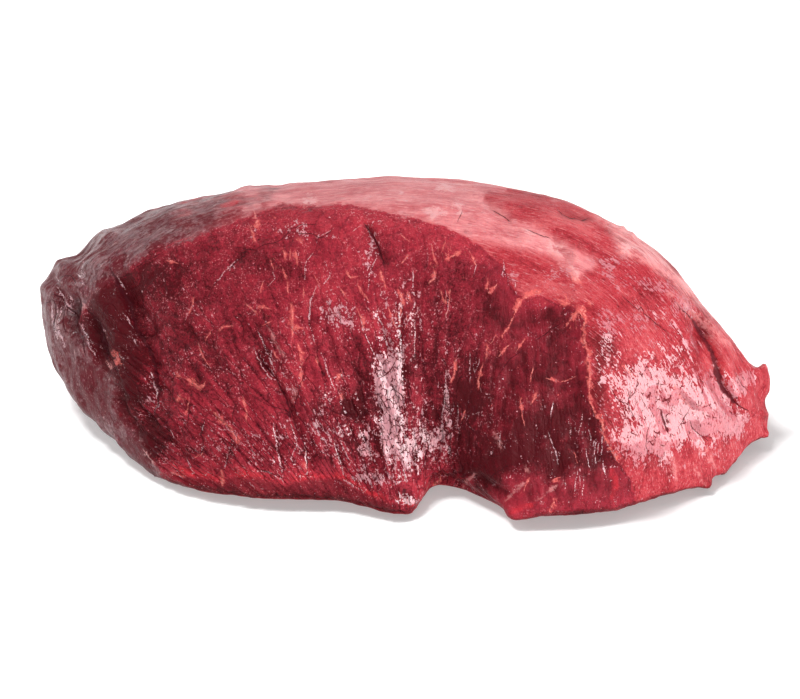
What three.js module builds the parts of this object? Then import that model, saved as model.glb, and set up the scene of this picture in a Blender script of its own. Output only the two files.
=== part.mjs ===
// A whole trimmed rump of bison, raw, lying on the side that was cut flat.
//
// Millimetres, +Z up. X runs along the piece, from the blunt end under silverskin to the
// end that tapers to a ragged flap. The large dark cut face looks to -Y and leans back.
// The piece is one solid: a skin lofted over a few ribs, with the folds, the furrows of the
// grain and the torn tags pushed into it or pulled out of it. The origin is under the
// middle of the piece, on the board it lies on.

import * as THREE from "three";
import { ImprovedNoise } from "three/addons/math/ImprovedNoise.js";

// Ribs across the piece, from the blunt end to the tapered one. Each gives its place along
// the piece and the points of the section that can be seen or felt: foot, where the cut face
// meets the board; rim, where the cut face ends at the top; crest, the highest line; back,
// the furthest point behind; and the height of the underside.
const RIBS = [
  { x: -134, foot: 93, rimY: 94, rimZ: 39, crestY: 98, crestZ: 40, back: 104, under: 27 },
  { x: -131, foot: 82, rimY: 90, rimZ: 44, crestY: 98, crestZ: 46, back: 120, under: 20 },
  { x: -121, foot: 65, rimY: 84, rimZ: 52, crestY: 94, crestZ: 54, back: 134, under: 11 },
  { x: -105, foot: 46, rimY: 78, rimZ: 62, crestY: 89, crestZ: 64, back: 142, under: 5 },
  { x: -84, foot: 24, rimY: 74, rimZ: 72, crestY: 84, crestZ: 75, back: 146, under: 0 },
  { x: -52, foot: 12, rimY: 70, rimZ: 82, crestY: 79, crestZ: 83, back: 147, under: 0 },
  { x: -20, foot: 11, rimY: 64, rimZ: 86, crestY: 75, crestZ: 87, back: 146, under: 0 },
  { x: 10, foot: 9, rimY: 56, rimZ: 85, crestY: 74, crestZ: 88, back: 144, under: 0 },
  { x: 40, foot: 1, rimY: 42, rimZ: 74, crestY: 74, crestZ: 85, back: 140, under: 0 },
  { x: 66, foot: 3, rimY: 32, rimZ: 62, crestY: 72, crestZ: 79, back: 134, under: 0 },
  { x: 90, foot: 14, rimY: 36, rimZ: 47, crestY: 67, crestZ: 66, back: 122, under: 0 },
  { x: 110, foot: 28, rimY: 41, rimZ: 33, crestY: 60, crestZ: 46, back: 106, under: 0 },
  { x: 123, foot: 43, rimY: 49, rimZ: 22, crestY: 60, crestZ: 30, back: 90, under: 3 },
  { x: 130, foot: 53, rimY: 56, rimZ: 17, crestY: 61, crestZ: 21, back: 76, under: 6 },
  { x: 132, foot: 57, rimY: 59, rimZ: 15, crestY: 62, crestZ: 18, back: 69, under: 9 },
];
const FACE_BULGE = 0.056; // how far the cut face is cushioned out, as a share of its height

// Where the landmarks of a section lie. Shares are of the section's own height or depth, and
// the angles are those of the quarter ellipse that runs from the crest down to the back.
const LIP_HEIGHT = 0.07;
const FACE_SHARES = [0.33, 0.68];
const KEEL_FRONT = 0.07;
const HIP_HEIGHT = 0.3;
const SHOULDERS = [32, 62, 90];
const HEEL = { in: 0.05, up: 0.06 };
const KEEL_BACK = 0.14;

// The landmarks in the order in which they go round a section, and the steps between them.
const [KEEL, LIP, RIM] = [0, 2, 5];
const LANDMARKS = 12;
const STEPS_BETWEEN = [3, 3, 11, 10, 10, 4, 5, 5, 4, 3, 3, 5];
const STEPS_ALONG = 82;

// Folds, furrows and seams of the skin. Each goes through places given as the distance along
// the piece and the landmark number, counted on between landmarks. Its depth is negative
// where it stands proud. Its reach is given for the side towards the blunt end, and for the
// side towards the flap.
const FOLDS = [
  // the crevice beside the blunt end, the roll before it, and two pleats of the silverskin
  { through: [[-104, 4.9], [-97, 4.2], [-90, 3.7], [-84, 2.6]], depth: 4.2, reach: [4.6, 3.8] },
  { through: [[-108, 4.6], [-101, 3.7], [-95, 2.7]], depth: -2.2, reach: [4.5, 4.5] },
  { through: [[-117, 4.6], [-110, 3.8], [-104, 3]], depth: 2, reach: [3.2, 3.2] },
  { through: [[-126, 5.2], [-122, 4.4], [-117, 3.4]], depth: 2.2, reach: [3.5, 3.5] },
  // the slit under the rim, the long furrow with its ridge, and the hollow with dark cracks
  { through: [[-15, 5], [-11, 4.7], [-6, 4.35]], depth: 2.6, reach: [3, 3.4] },
  { through: [[-54, 3.95], [-46, 3.35], [-38, 2.9], [-30, 2.45]], depth: 2, reach: [3.4, 3.4] },
  { through: [[-48, 3.95], [-39, 3.3], [-31, 2.8]], depth: -1.4, reach: [4, 5] },
  { through: [[-22, 3.3], [-12, 3], [-4, 2.7]], depth: 2.2, reach: [5, 5] },
  // the edge of the outer muscle, raised beside the cut face, and the seam that goes on from it
  { through: [[56, 5.4], [61, 4.8], [62, 4], [67, 3.2], [80, 2.4]], depth: -2.6, reach: [2.6, 20] },
  { through: [[24, 5.95], [42, 5.7], [58, 5.35]], depth: 1.8, reach: [3, 4] },
  // the fold that parts the flap, a slit in it, and a furrow that runs out at its edge
  { through: [[102, 6], [107, 5.5], [115, 4.6], [122, 4.2]], depth: 4, reach: [3.6, 3] },
  { through: [[86, 4.3], [89, 3.8], [93, 3.3]], depth: 1.8, reach: [3, 3] },
  { through: [[94, 4.4], [101, 3.6], [108, 2.9]], depth: 1.6, reach: [3.2, 3.2] },
  // behind: the seam between two muscles, the edge of the fat cover, and a crease at each end
  { through: [[-100, 7.9], [-50, 8.1], [0, 7.7], [50, 7.9], [95, 8.2]], depth: 3, reach: [4, 6] },
  { through: [[-70, 6.9], [-35, 7.3], [5, 6.9], [40, 7.3], [75, 7.1]], depth: -1.6, reach: [4, 9] },
  { through: [[-112, 6.6], [-104, 7.6], [-92, 9.4]], depth: 2.2, reach: [3.5, 3.5] },
  { through: [[84, 6.8], [92, 7.7], [97, 8.6]], depth: 2, reach: [3.5, 3.5] },
];
const FOLD_FADE = 0.2; // share of a fold's length over which it dies away at each end
const FOLD_STEPS = 16;

// The valley that parts the cut face into two cushions, deepest at the board. Its foot is
// lifted off the board.
const VALLEY = { x: 13, lean: -0.08, depth: 13, left: 8, right: 18, top: 62 };
const VALLEY_FOOT = { lift: 4, top: 20, back: 55 };

// Furrows that fan out over the cut face from a point under the valley. Each wanders from
// its angle, and begins and ends about the radii given.
const FAN = {
  centre: { x: 14, z: -14 },
  angles: { first: -58, last: 46, count: 9, spread: 6, seed: 0.5, bend: 30 },
  from: { radius: 38, spread: 22, fade: 16, seed: 4.2 },
  to: { radius: 92, spread: 34, fade: 24, seed: 8.4 },
  width: 2.8,
  depth: 1.2,
};
const FURROW_STRIDE = 2.3; // how far apart two furrows draw their chances from the noise

// Tags torn or pulled out of the edge: where each grows, how far it is drawn out, and the
// width of its root. The first two make the broad tongue beside the valley, the third hangs
// across it, and the rest are the ragged end of the flap.
const TAGS = [
  { at: [-4, 11, 2], draw: [2, -8, -1], root: 12 },
  { at: [6, 12, 2], draw: [1, -9, -1], root: 5 },
  { at: [40, 2, 3], draw: [-5, -5, -1], root: 4.5 },
  { at: [130, 60, 20], draw: [2, 3, 6], root: 5 },
  { at: [130, 52, 7], draw: [2, -2, -2], root: 4 },
  { at: [118, 36, 3], draw: [2, -1, 0], root: 4 },
  { at: [106, 24, 3], draw: [3, -3, 0], root: 4 },
];

// The unevenness of the whole skin, and the coarse fibres of the outer muscle, which run down
// towards the flap.
const LUMPS = { size: 26, height: 1.1, seed: 0 };
const RIPPLES = { size: 10, height: 0.35, seed: 40 };
const FIBRES = { from: 54, full: 78, across: 8, along: 42, slope: 0.75, height: 0.8 };

const { clamp, degToRad, radToDeg, smoothstep } = THREE.MathUtils;
const perlin = new ImprovedNoise();
const bell = (distance, width) => Math.exp(-((distance / width) ** 2));

// The twelve landmarks of a rib: the underside's middle and front, the lip, two places on the
// cut face, the rim, the crest, three places down the back, the heel and the underside's back.
function landmarks(rib) {
  const height = rib.crestZ - rib.under;
  const depth = rib.back - rib.foot;
  const hip = rib.under + HIP_HEIGHT * height;
  const point = (y, z) => new THREE.Vector3(rib.x, y, z);
  const lip = point(rib.foot, rib.under + LIP_HEIGHT * height);
  const rim = point(rib.rimY, rib.rimZ);
  const outward = new THREE.Vector3(0, lip.z - rim.z, rim.y - lip.y).normalize();
  const onFace = (share) => {
    const cushion = FACE_BULGE * height * 4 * share * (1 - share);
    return lip.clone().lerp(rim, share).addScaledVector(outward, cushion);
  };
  const onBack = (degrees) => {
    const angle = degToRad(degrees);
    const y = rib.crestY + (rib.back - rib.crestY) * Math.sin(angle);
    return point(y, hip + (rib.crestZ - hip) * Math.cos(angle));
  };
  return [
    point((rib.foot + rib.back) / 2, rib.under),
    point(rib.foot + KEEL_FRONT * depth, rib.under),
    lip,
    ...FACE_SHARES.map(onFace),
    rim,
    point(rib.crestY, rib.crestZ),
    ...SHOULDERS.map(onBack),
    point(rib.back - HEEL.in * depth, rib.under + HEEL.up * height),
    point(rib.back - KEEL_BACK * depth, rib.under),
  ];
}

// A guide curve runs along the piece through each landmark of the ribs.
function guideCurves() {
  const marks = RIBS.map(landmarks);
  return marks[KEEL].map((_, k) => new THREE.CatmullRomCurve3(marks.map((rib) => rib[k])));
}
const guides = guideCurves();

// The closed section through the guides, at a share of the way along them.
function section(share) {
  return new THREE.CatmullRomCurve3(guides.map((guide) => guide.getPoint(share)), true);
}

// The smooth skin's point at a distance along the piece, at a landmark number.
function place([x, landmark]) {
  let low = 0;
  let high = 1;
  while (high - low > 1e-6) {
    const middle = (low + high) / 2;
    if (guides[LIP].getPoint(middle).x < x) low = middle;
    else high = middle;
  }
  return section(low).getPoint(landmark / LANDMARKS);
}

// The smooth skin: a closed grid of rings, with a fan of triangles over each end.
function skin() {
  const rings = [];
  for (let i = 0; i <= STEPS_ALONG; i++) {
    const curve = section(guides[RIM].getUtoTmapping(i / STEPS_ALONG));
    const ring = STEPS_BETWEEN.flatMap((steps, k) =>
      Array.from({ length: steps }, (_, j) => curve.getPoint((k + j / steps) / LANDMARKS)),
    );
    rings.push(ring);
  }
  const around = rings[0].length;
  const middle = (ring) =>
    ring.reduce((sum, p) => sum.add(p), new THREE.Vector3()).divideScalar(around);
  const firstHub = rings.length * around;
  const lastHub = firstHub + 1;
  const at = (i, j) => i * around + (j % around);
  const index = [];
  for (let j = 0; j < around; j++) {
    for (let i = 0; i < STEPS_ALONG; i++) {
      index.push(at(i, j), at(i + 1, j), at(i, j + 1));
      index.push(at(i + 1, j), at(i + 1, j + 1), at(i, j + 1));
    }
    index.push(firstHub, at(0, j), at(0, j + 1));
    index.push(lastHub, at(STEPS_ALONG, j + 1), at(STEPS_ALONG, j));
  }
  const hubs = [middle(rings[0]), middle(rings[STEPS_ALONG])];
  const geometry = new THREE.BufferGeometry().setFromPoints([...rings.flat(), ...hubs]);
  geometry.setIndex(index);
  geometry.computeVertexNormals();
  return geometry;
}

// How far a fold moves the skin at p, along the outward normal there.
function foldHeight(fold, p, normal) {
  let nearest = Infinity;
  let share = 0;
  let side = 0;
  for (let i = 0; i < FOLD_STEPS; i++) {
    const start = fold.line[i];
    const run = fold.line[i + 1].clone().sub(start);
    const t = clamp(p.clone().sub(start).dot(run) / run.lengthSq(), 0, 1);
    const off = p.clone().sub(start).addScaledVector(run, -t);
    if (off.length() < nearest) {
      nearest = off.length();
      share = (i + t) / FOLD_STEPS;
      side = off.dot(run.cross(normal));
    }
  }
  const fade = smoothstep(share, 0, FOLD_FADE) * (1 - smoothstep(share, 1 - FOLD_FADE, 1));
  return -fold.depth * fade * bell(nearest, fold.reach[side > 0 ? 0 : 1]);
}

// How far the furrows of the fan move the cut face at p, which is measured square on to it.
function fanHeight(p) {
  const { angles, from, to } = FAN;
  const dx = p.x - FAN.centre.x;
  const dz = p.z - FAN.centre.z;
  const radius = Math.hypot(dx, dz);
  const angle = radToDeg(Math.atan2(dx, dz));
  const between = (angles.last - angles.first) / (angles.count - 1);
  let height = 0;
  for (let i = 0; i < angles.count; i++) {
    const chance = (from, along = 0) => from.spread * perlin.noise(i * FURROW_STRIDE, along, from.seed);
    const furrow = angles.first + i * between + chance(angles, radius / angles.bend);
    const start = from.radius + chance(from);
    const end = to.radius + chance(to);
    const begun = smoothstep(radius, start, start + from.fade);
    const ended = smoothstep(radius, end - to.fade, end);
    height -= FAN.depth * begun * (1 - ended) * bell(degToRad(angle - furrow) * radius, FAN.width);
  }
  return height;
}

function noiseHeight(field, p) {
  const { size, seed } = field;
  return field.height * perlin.noise(p.x / size, p.y / size, p.z / size + seed);
}

function fibreHeight(p) {
  const across = (p.z + FIBRES.slope * p.x) / FIBRES.across;
  const along = (p.x - FIBRES.slope * p.z) / FIBRES.along;
  const fibrous = smoothstep(p.x, FIBRES.from, FIBRES.full);
  return FIBRES.height * fibrous * perlin.noise(across, along, p.y / FIBRES.along);
}

// Presses the valley into the cut face at p, and lifts the foot of it off the board.
function pressValley(p, normal) {
  const off = p.x - VALLEY.x - VALLEY.lean * p.z;
  const across = bell(off, off < 0 ? VALLEY.left : VALLEY.right);
  const low = 1 - smoothstep(p.z, 0, VALLEY.top);
  const facing = smoothstep(-normal.y, 0, 0.5);
  const foot = (1 - smoothstep(p.y, 0, VALLEY_FOOT.back)) * (1 - smoothstep(p.z, 0, VALLEY_FOOT.top));
  p.y += VALLEY.depth * across * low * facing;
  p.z += VALLEY_FOOT.lift * across * foot;
}

function pullTags(p) {
  for (const tag of TAGS) {
    const pull = bell(p.distanceTo(new THREE.Vector3(...tag.at)), tag.root);
    p.addScaledVector(new THREE.Vector3(...tag.draw), pull);
  }
}

// Gives the smooth skin its relief, and keeps the underside flat on the board.
function carve(geometry) {
  const position = geometry.attributes.position;
  const folds = FOLDS.map((fold) => ({
    ...fold,
    line: new THREE.CatmullRomCurve3(fold.through.map(place)).getPoints(FOLD_STEPS),
  }));
  const p = new THREE.Vector3();
  const normal = new THREE.Vector3();
  for (let i = 0; i < position.count; i++) {
    p.fromBufferAttribute(position, i);
    normal.fromBufferAttribute(geometry.attributes.normal, i);
    const facing = smoothstep(-normal.y, 0.2, 0.6);
    const lying = smoothstep(-normal.z, 0.5, 0.9);
    let height = noiseHeight(LUMPS, p) + noiseHeight(RIPPLES, p) + fibreHeight(p);
    height += facing * fanHeight(p);
    for (const fold of folds) height += foldHeight(fold, p, normal);
    p.addScaledVector(normal, height * (1 - lying));
    pressValley(p, normal);
    pullTags(p);
    position.setXYZ(i, p.x, p.y, Math.max(p.z, 0));
  }
  geometry.deleteAttribute("normal");
  return geometry;
}

// Puts the origin on the board, under the middle of the piece.
function centre(geometry) {
  geometry.computeBoundingBox();
  const { min, max } = geometry.boundingBox;
  return geometry.translate(-(min.x + max.x) / 2, -(min.y + max.y) / 2, -min.z);
}

const meat = new THREE.Mesh(
  centre(carve(skin())),
  new THREE.MeshStandardMaterial({ color: 0x7a1822, roughness: 0.45, metalness: 0 }),
);
meat.name = "rump";

const part = new THREE.Group();
part.add(meat);

export default part;
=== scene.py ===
import itertools
import math
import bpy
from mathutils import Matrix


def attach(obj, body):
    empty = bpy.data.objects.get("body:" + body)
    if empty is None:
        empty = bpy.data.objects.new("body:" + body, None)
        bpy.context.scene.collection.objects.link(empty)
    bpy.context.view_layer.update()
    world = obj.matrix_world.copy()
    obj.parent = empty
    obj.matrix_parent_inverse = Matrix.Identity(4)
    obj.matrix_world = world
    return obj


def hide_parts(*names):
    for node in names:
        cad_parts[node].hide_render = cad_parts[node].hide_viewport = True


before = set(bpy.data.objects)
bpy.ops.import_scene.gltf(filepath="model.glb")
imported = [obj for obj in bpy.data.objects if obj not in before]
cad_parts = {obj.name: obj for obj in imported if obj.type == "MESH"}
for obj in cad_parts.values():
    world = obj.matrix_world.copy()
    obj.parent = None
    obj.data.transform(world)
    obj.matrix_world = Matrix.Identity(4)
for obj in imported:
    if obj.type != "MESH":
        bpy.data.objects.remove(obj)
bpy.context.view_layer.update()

from types import SimpleNamespace

import bpy
import numpy as np
from bpy.props import FloatProperty, FloatVectorProperty, PointerProperty
from mathutils import Euler, Vector

bl_info = {
    "name": "Raw bison rump",
    "version": (1, 0, 0),
    "blender": (4, 5, 0),
    "location": "View3D > Sidebar > Rump",
    "description": "A whole raw trimmed rump of bison with its cut face, silverskin and fat edge",
    "category": "Mesh",
}

NODE = "rump"
BODY = "root"
LIT = "lit by the keys"
UNDERLAY = "lit by the floor light"
PHOTO_WIDTH = 800
PHOTO_HEIGHT = 699
MM = 0.001
MERGE_WITHIN = 0.01 * MM
# noise cells repeat after so many, and lie askew to the axes
NOISE_CELLS = 256
ASKEW = np.array(Euler((0.5, 0.7, 0.3)).to_matrix())
# further from a line than anything that is drawn with it, in half widths of the line
FAR = 60.0
# the middle of the piece above the floor, in metres, and a floor that reaches past the picture
MIDDLE = Vector((0, 0, 0.04))
FLOOR_SIZE = 6
# The plain lamps: name, azimuth and elevation in degrees, distance and sides in metres, watts.
LAMPS = (
    ("top", (180, 75), 1.6, (2.4, 1.4), 8.5),
    ("back", (175, 18), 1.2, (1.4, 0.35), 3.0),
    ("high left", (-125, 76), 1.2, (0.22, 0.22), 6.0),
    ("left", (-100, 22), 1.1, (0.3, 0.6), 3.0),
)

# Lines and outlines seen in the photograph, as pixels of its frame. They are laid on the skin along the
# camera's line of sight.
CUT_OUTLINE = (
    (122, 277), (136, 262), (152, 252), (170, 246), (196, 238), (215, 229), (246, 216), (278, 205),
    (300, 204), (340, 204), (360, 207), (380, 210), (400, 215), (420, 219), (446, 228), (464, 237),
    (482, 248), (495, 259), (505, 270), (511, 282), (517, 294), (526, 298), (540, 295), (556, 303),
    (568, 304), (580, 312), (586, 326), (586, 345), (589, 367), (590, 381), (588, 391), (591, 403),
    (596, 415), (602, 423), (604, 435), (610, 448), (618, 461), (630, 480), (640, 520), (640, 600),
    (150, 600), (168, 480), (158, 470), (146, 454), (140, 440), (129, 426), (118, 404), (118, 391),
    (111, 377), (101, 366), (88, 353), (82, 337), (76, 318), (86, 306), (96, 294), (104, 288),
)
SILVER_OUTLINES = (
    (
        (20, 240), (60, 250), (100, 262), (112, 270), (122, 278), (104, 288), (96, 294), (86, 306),
        (76, 318), (82, 337), (88, 353), (101, 366), (111, 377), (118, 391), (118, 404), (129, 426),
        (140, 440), (146, 454), (158, 470), (168, 480), (168, 530), (20, 530),
    ),
    (
        (60, 262), (100, 264), (122, 277), (136, 262), (152, 252), (170, 246), (196, 238), (230, 226),
        (262, 212), (290, 194), (300, 160), (60, 160),
    ),
)
FILM_OUTLINE = (
    (246, 214), (262, 206), (280, 203), (318, 204), (340, 203), (360, 206), (380, 210), (396, 214),
    (420, 218), (448, 226), (470, 234), (500, 240), (530, 246), (552, 252), (566, 262), (576, 276),
    (592, 262), (560, 244), (540, 232), (510, 219), (494, 209), (482, 200), (486, 190), (500, 188),
    (500, 160), (246, 160),
)
EDGE_FAT_OUTLINE = (
    (556, 180), (562, 198), (580, 208), (600, 222), (612, 240), (620, 256), (634, 260), (652, 268),
    (676, 288), (700, 312), (720, 332), (740, 330), (730, 180),
)
# The grain of the silverskin and the membrane runs along this line, the wrinkles of the cut
# face fan out from a pixel, and the fibres of the outer muscle are arcs round another.
SHEET_LINE = (
    (150, 470), (120, 436), (92, 402), (74, 370), (64, 340), (64, 312), (76, 284), (100, 258),
    (130, 238), (165, 222), (205, 208), (250, 197), (300, 192), (350, 189), (400, 191), (450, 196),
    (500, 201), (550, 212), (600, 231), (650, 262), (690, 296), (720, 335),
)
SHEET_LENGTH = 1100
SHEET_REACH = 900
FAN_CENTRE = (430, 650)
FAN_LEVEL = 350
FAN_REACH = 170
# the wrinkles turn upright between these pixels, and lean by this share there
FAN_ENDS = (468, 520)
UPRIGHT_LEAN = 0.09
FIBRE_CENTRE = (410, 538)
FIBRE_RADIUS = 300
# the silverskin thins out from left to right between these
SILVER_FADES = (165, 300)
# the rim of bright meat along the foot
LIP_LINE = (
    (170, 470), (180, 474), (192, 476), (204, 477), (219, 481), (231, 476), (244, 476), (259, 477),
    (274, 481), (284, 484), (300, 479), (328, 477), (345, 480), (357, 488), (371, 495), (385, 501),
    (400, 507),
)

# Tags and dents of the ragged edge: how far they stand out in mm, centre, and half sizes.
TAGS = (
    (2.6, (764, 365), (4, 4)),
    (-3.0, (765, 396), (6, 13)),
    (1.0, (765, 414), (4, 4)),
    (1.5, (765, 434), (4, 4)),
    (-1.6, (760, 445), (5, 5)),
    (1.0, (752, 455), (6, 6)),
    (-1.2, (738, 463), (6, 6)),
    (1.2, (722, 470), (6, 6)),
    (-1.0, (714, 480), (5, 5)),
    (1.2, (708, 487), (5, 5)),
    (0.9, (623, 228), (4, 3)),
    (0.7, (631, 235), (4, 3)),
    (1.9, (95, 263), (12, 10)),
    (-1.4, (81, 276), (6, 5)),
    (1.5, (68, 287), (8, 8)),
    (-1.6, (73, 314), (5, 8)),
    (1.0, (94, 300), (8, 9)),
    (-2.2, (74, 248), (15, 12)),
    (1.6, (106, 233), (17, 10)),
    (1.2, (63, 266), (6, 6)),
    (-0.9, (54, 280), (4, 4)),
    (1.2, (46, 289), (6, 6)),
    (0.8, (244, 189), (10, 6)),
    (-0.7, (278, 184), (12, 6)),
)


class Crease:
    """A broad fold: where it runs, its depth and half width in mm, and how much its two sides
    differ in height."""

    def __init__(self, depth, width, step, *places):
        self.depth = depth
        self.width = width
        self.step = step
        self.places = places


CREASES = (
    # beside the blunt end
    Crease(1.2, 1.7, 0.6,
        (112, 272), (121, 288), (130, 302), (133, 314), (139, 334), (149, 348), (154, 364), (157, 384),
        (158, 402), (153, 416),
    ),
    Crease(1.5, 1.7, -0.5, (88, 311), (96, 324), (100, 336), (103, 349), (108, 366)),
    Crease(1.9, 1.7, 0.5, (70, 292), (76, 306), (72, 320), (80, 340), (86, 352)),
    Crease(1.4, 1.5, 0.4, (56, 284), (62, 300), (58, 322)),
    Crease(1.4, 1.7, 0.5, (110, 374), (120, 392), (122, 408), (134, 428), (146, 444)),
    Crease(1.2, 1.5, 0.2, (128, 392), (140, 408), (150, 420), (160, 432)),
    # under the rim
    Crease(1.2, 1.5, -0.6, (363, 222), (370, 232), (377, 248), (385, 266)),
    Crease(0.8, 1.4, -0.3, (226, 272), (236, 260), (247, 252), (262, 245)),
    # the long furrow with its ridge
    Crease(1.0, 1.6, 0.6, (234, 314), (244, 328), (243, 342)),
    Crease(1.1, 1.6, 0.6,
        (250, 338), (257, 352), (266, 367), (276, 382), (285, 400), (292, 414), (298, 430), (306, 450),
    ),
    Crease(0.9, 1.6, 0.0, (184, 322), (190, 334), (196, 346)),
    # cracks towards the lip
    Crease(0.9, 1.4, 0.3, (205, 419), (199, 432), (202, 446), (199, 458)),
    Crease(0.9, 1.4, -0.3, (231, 440), (228, 453), (226, 466)),
    Crease(1.1, 1.4, 0.5, (275, 424), (277, 440), (281, 458), (285, 474)),
    Crease(0.9, 1.3, 0.4, (306, 440), (309, 456), (310, 474)),
    Crease(0.9, 1.3, 0.4, (334, 440), (341, 462), (344, 476)),
    Crease(0.9, 1.4, 0.3, (164, 438), (176, 446), (184, 456)),
    # the hollow with dark cracks
    Crease(1.0, 1.7, 0.4, (328, 408), (336, 413), (346, 414), (357, 419), (364, 413), (370, 410)),
    Crease(0.8, 1.5, 0.0, (338, 384), (346, 398), (354, 412), (358, 426)),
    # wrinkles that run down to the foot of the valley
    Crease(0.8, 1.3, 0.4, (314, 290), (310, 306), (310, 320), (314, 342)),
    Crease(0.9, 1.4, 0.5, (366, 326), (376, 354), (388, 382), (398, 408), (408, 440)),
    Crease(0.9, 1.4, 0.5, (372, 304), (382, 328), (388, 348), (398, 372)),
    Crease(0.9, 1.3, 0.5, (400, 300), (401, 326), (402, 352), (404, 380), (408, 404)),
    Crease(0.8, 1.3, 0.4, (415, 300), (415, 330), (416, 360), (420, 390)),
    Crease(1.2, 1.5, 0.5, (378, 418), (392, 436), (406, 460), (414, 480)),
    Crease(1.1, 1.5, 0.4, (356, 426), (366, 446), (378, 468), (392, 486)),
    Crease(0.9, 1.3, 0.4, (438, 372), (440, 400), (440, 430), (446, 456)),
    Crease(0.9, 1.3, 0.3, (452, 400), (454, 424), (458, 446)),
    Crease(0.8, 1.3, 0.2, (420, 400), (430, 430), (436, 456)),
    # the lower right of the cut face
    Crease(0.7, 1.3, 0.3, (549, 430), (552, 446), (558, 462), (557, 474)),
    Crease(0.6, 1.3, 0.2, (568, 418), (570, 440), (576, 460)),
    Crease(0.7, 1.3, 0.3, (588, 428), (592, 446), (602, 464), (608, 480)),
    Crease(0.8, 1.5, 0.3, (497, 434), (494, 450), (486, 462)),
    Crease(1.2, 1.7, -0.5, (470, 470), (486, 482), (500, 490), (516, 496)),
    # the top
    Crease(0.8, 1.5, -0.3, (478, 198), (495, 210), (505, 215), (516, 224)),
    Crease(1.2, 1.5, -0.4, (556, 207), (566, 212), (580, 216), (594, 220)),
    Crease(0.8, 1.7, -0.3, (548, 236), (562, 248), (574, 262)),
    # the outer muscle, its slit and the fold that parts the flap
    Crease(0.8, 1.6, -0.3, (616, 290), (632, 304), (650, 318), (668, 334)),
    Crease(0.7, 1.6, -0.3, (634, 290), (648, 306), (664, 318)),
    Crease(1.7, 2.1, -0.6,
        (680, 306), (694, 317), (704, 331), (712, 346), (717, 360), (719, 376), (726, 389), (734, 401),
        (748, 411),
    ),
    Crease(0.6, 1.3, 0.0, (661, 408), (664, 420), (668, 433)),
    Crease(1.0, 1.4, -0.5, (676, 388), (684, 400), (692, 408), (697, 416)),
    Crease(0.8, 1.4, -0.3, (689, 420), (696, 431), (708, 441)),
    Crease(0.8, 1.5, 0.3, (648, 436), (650, 452), (656, 470)),
)

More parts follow.
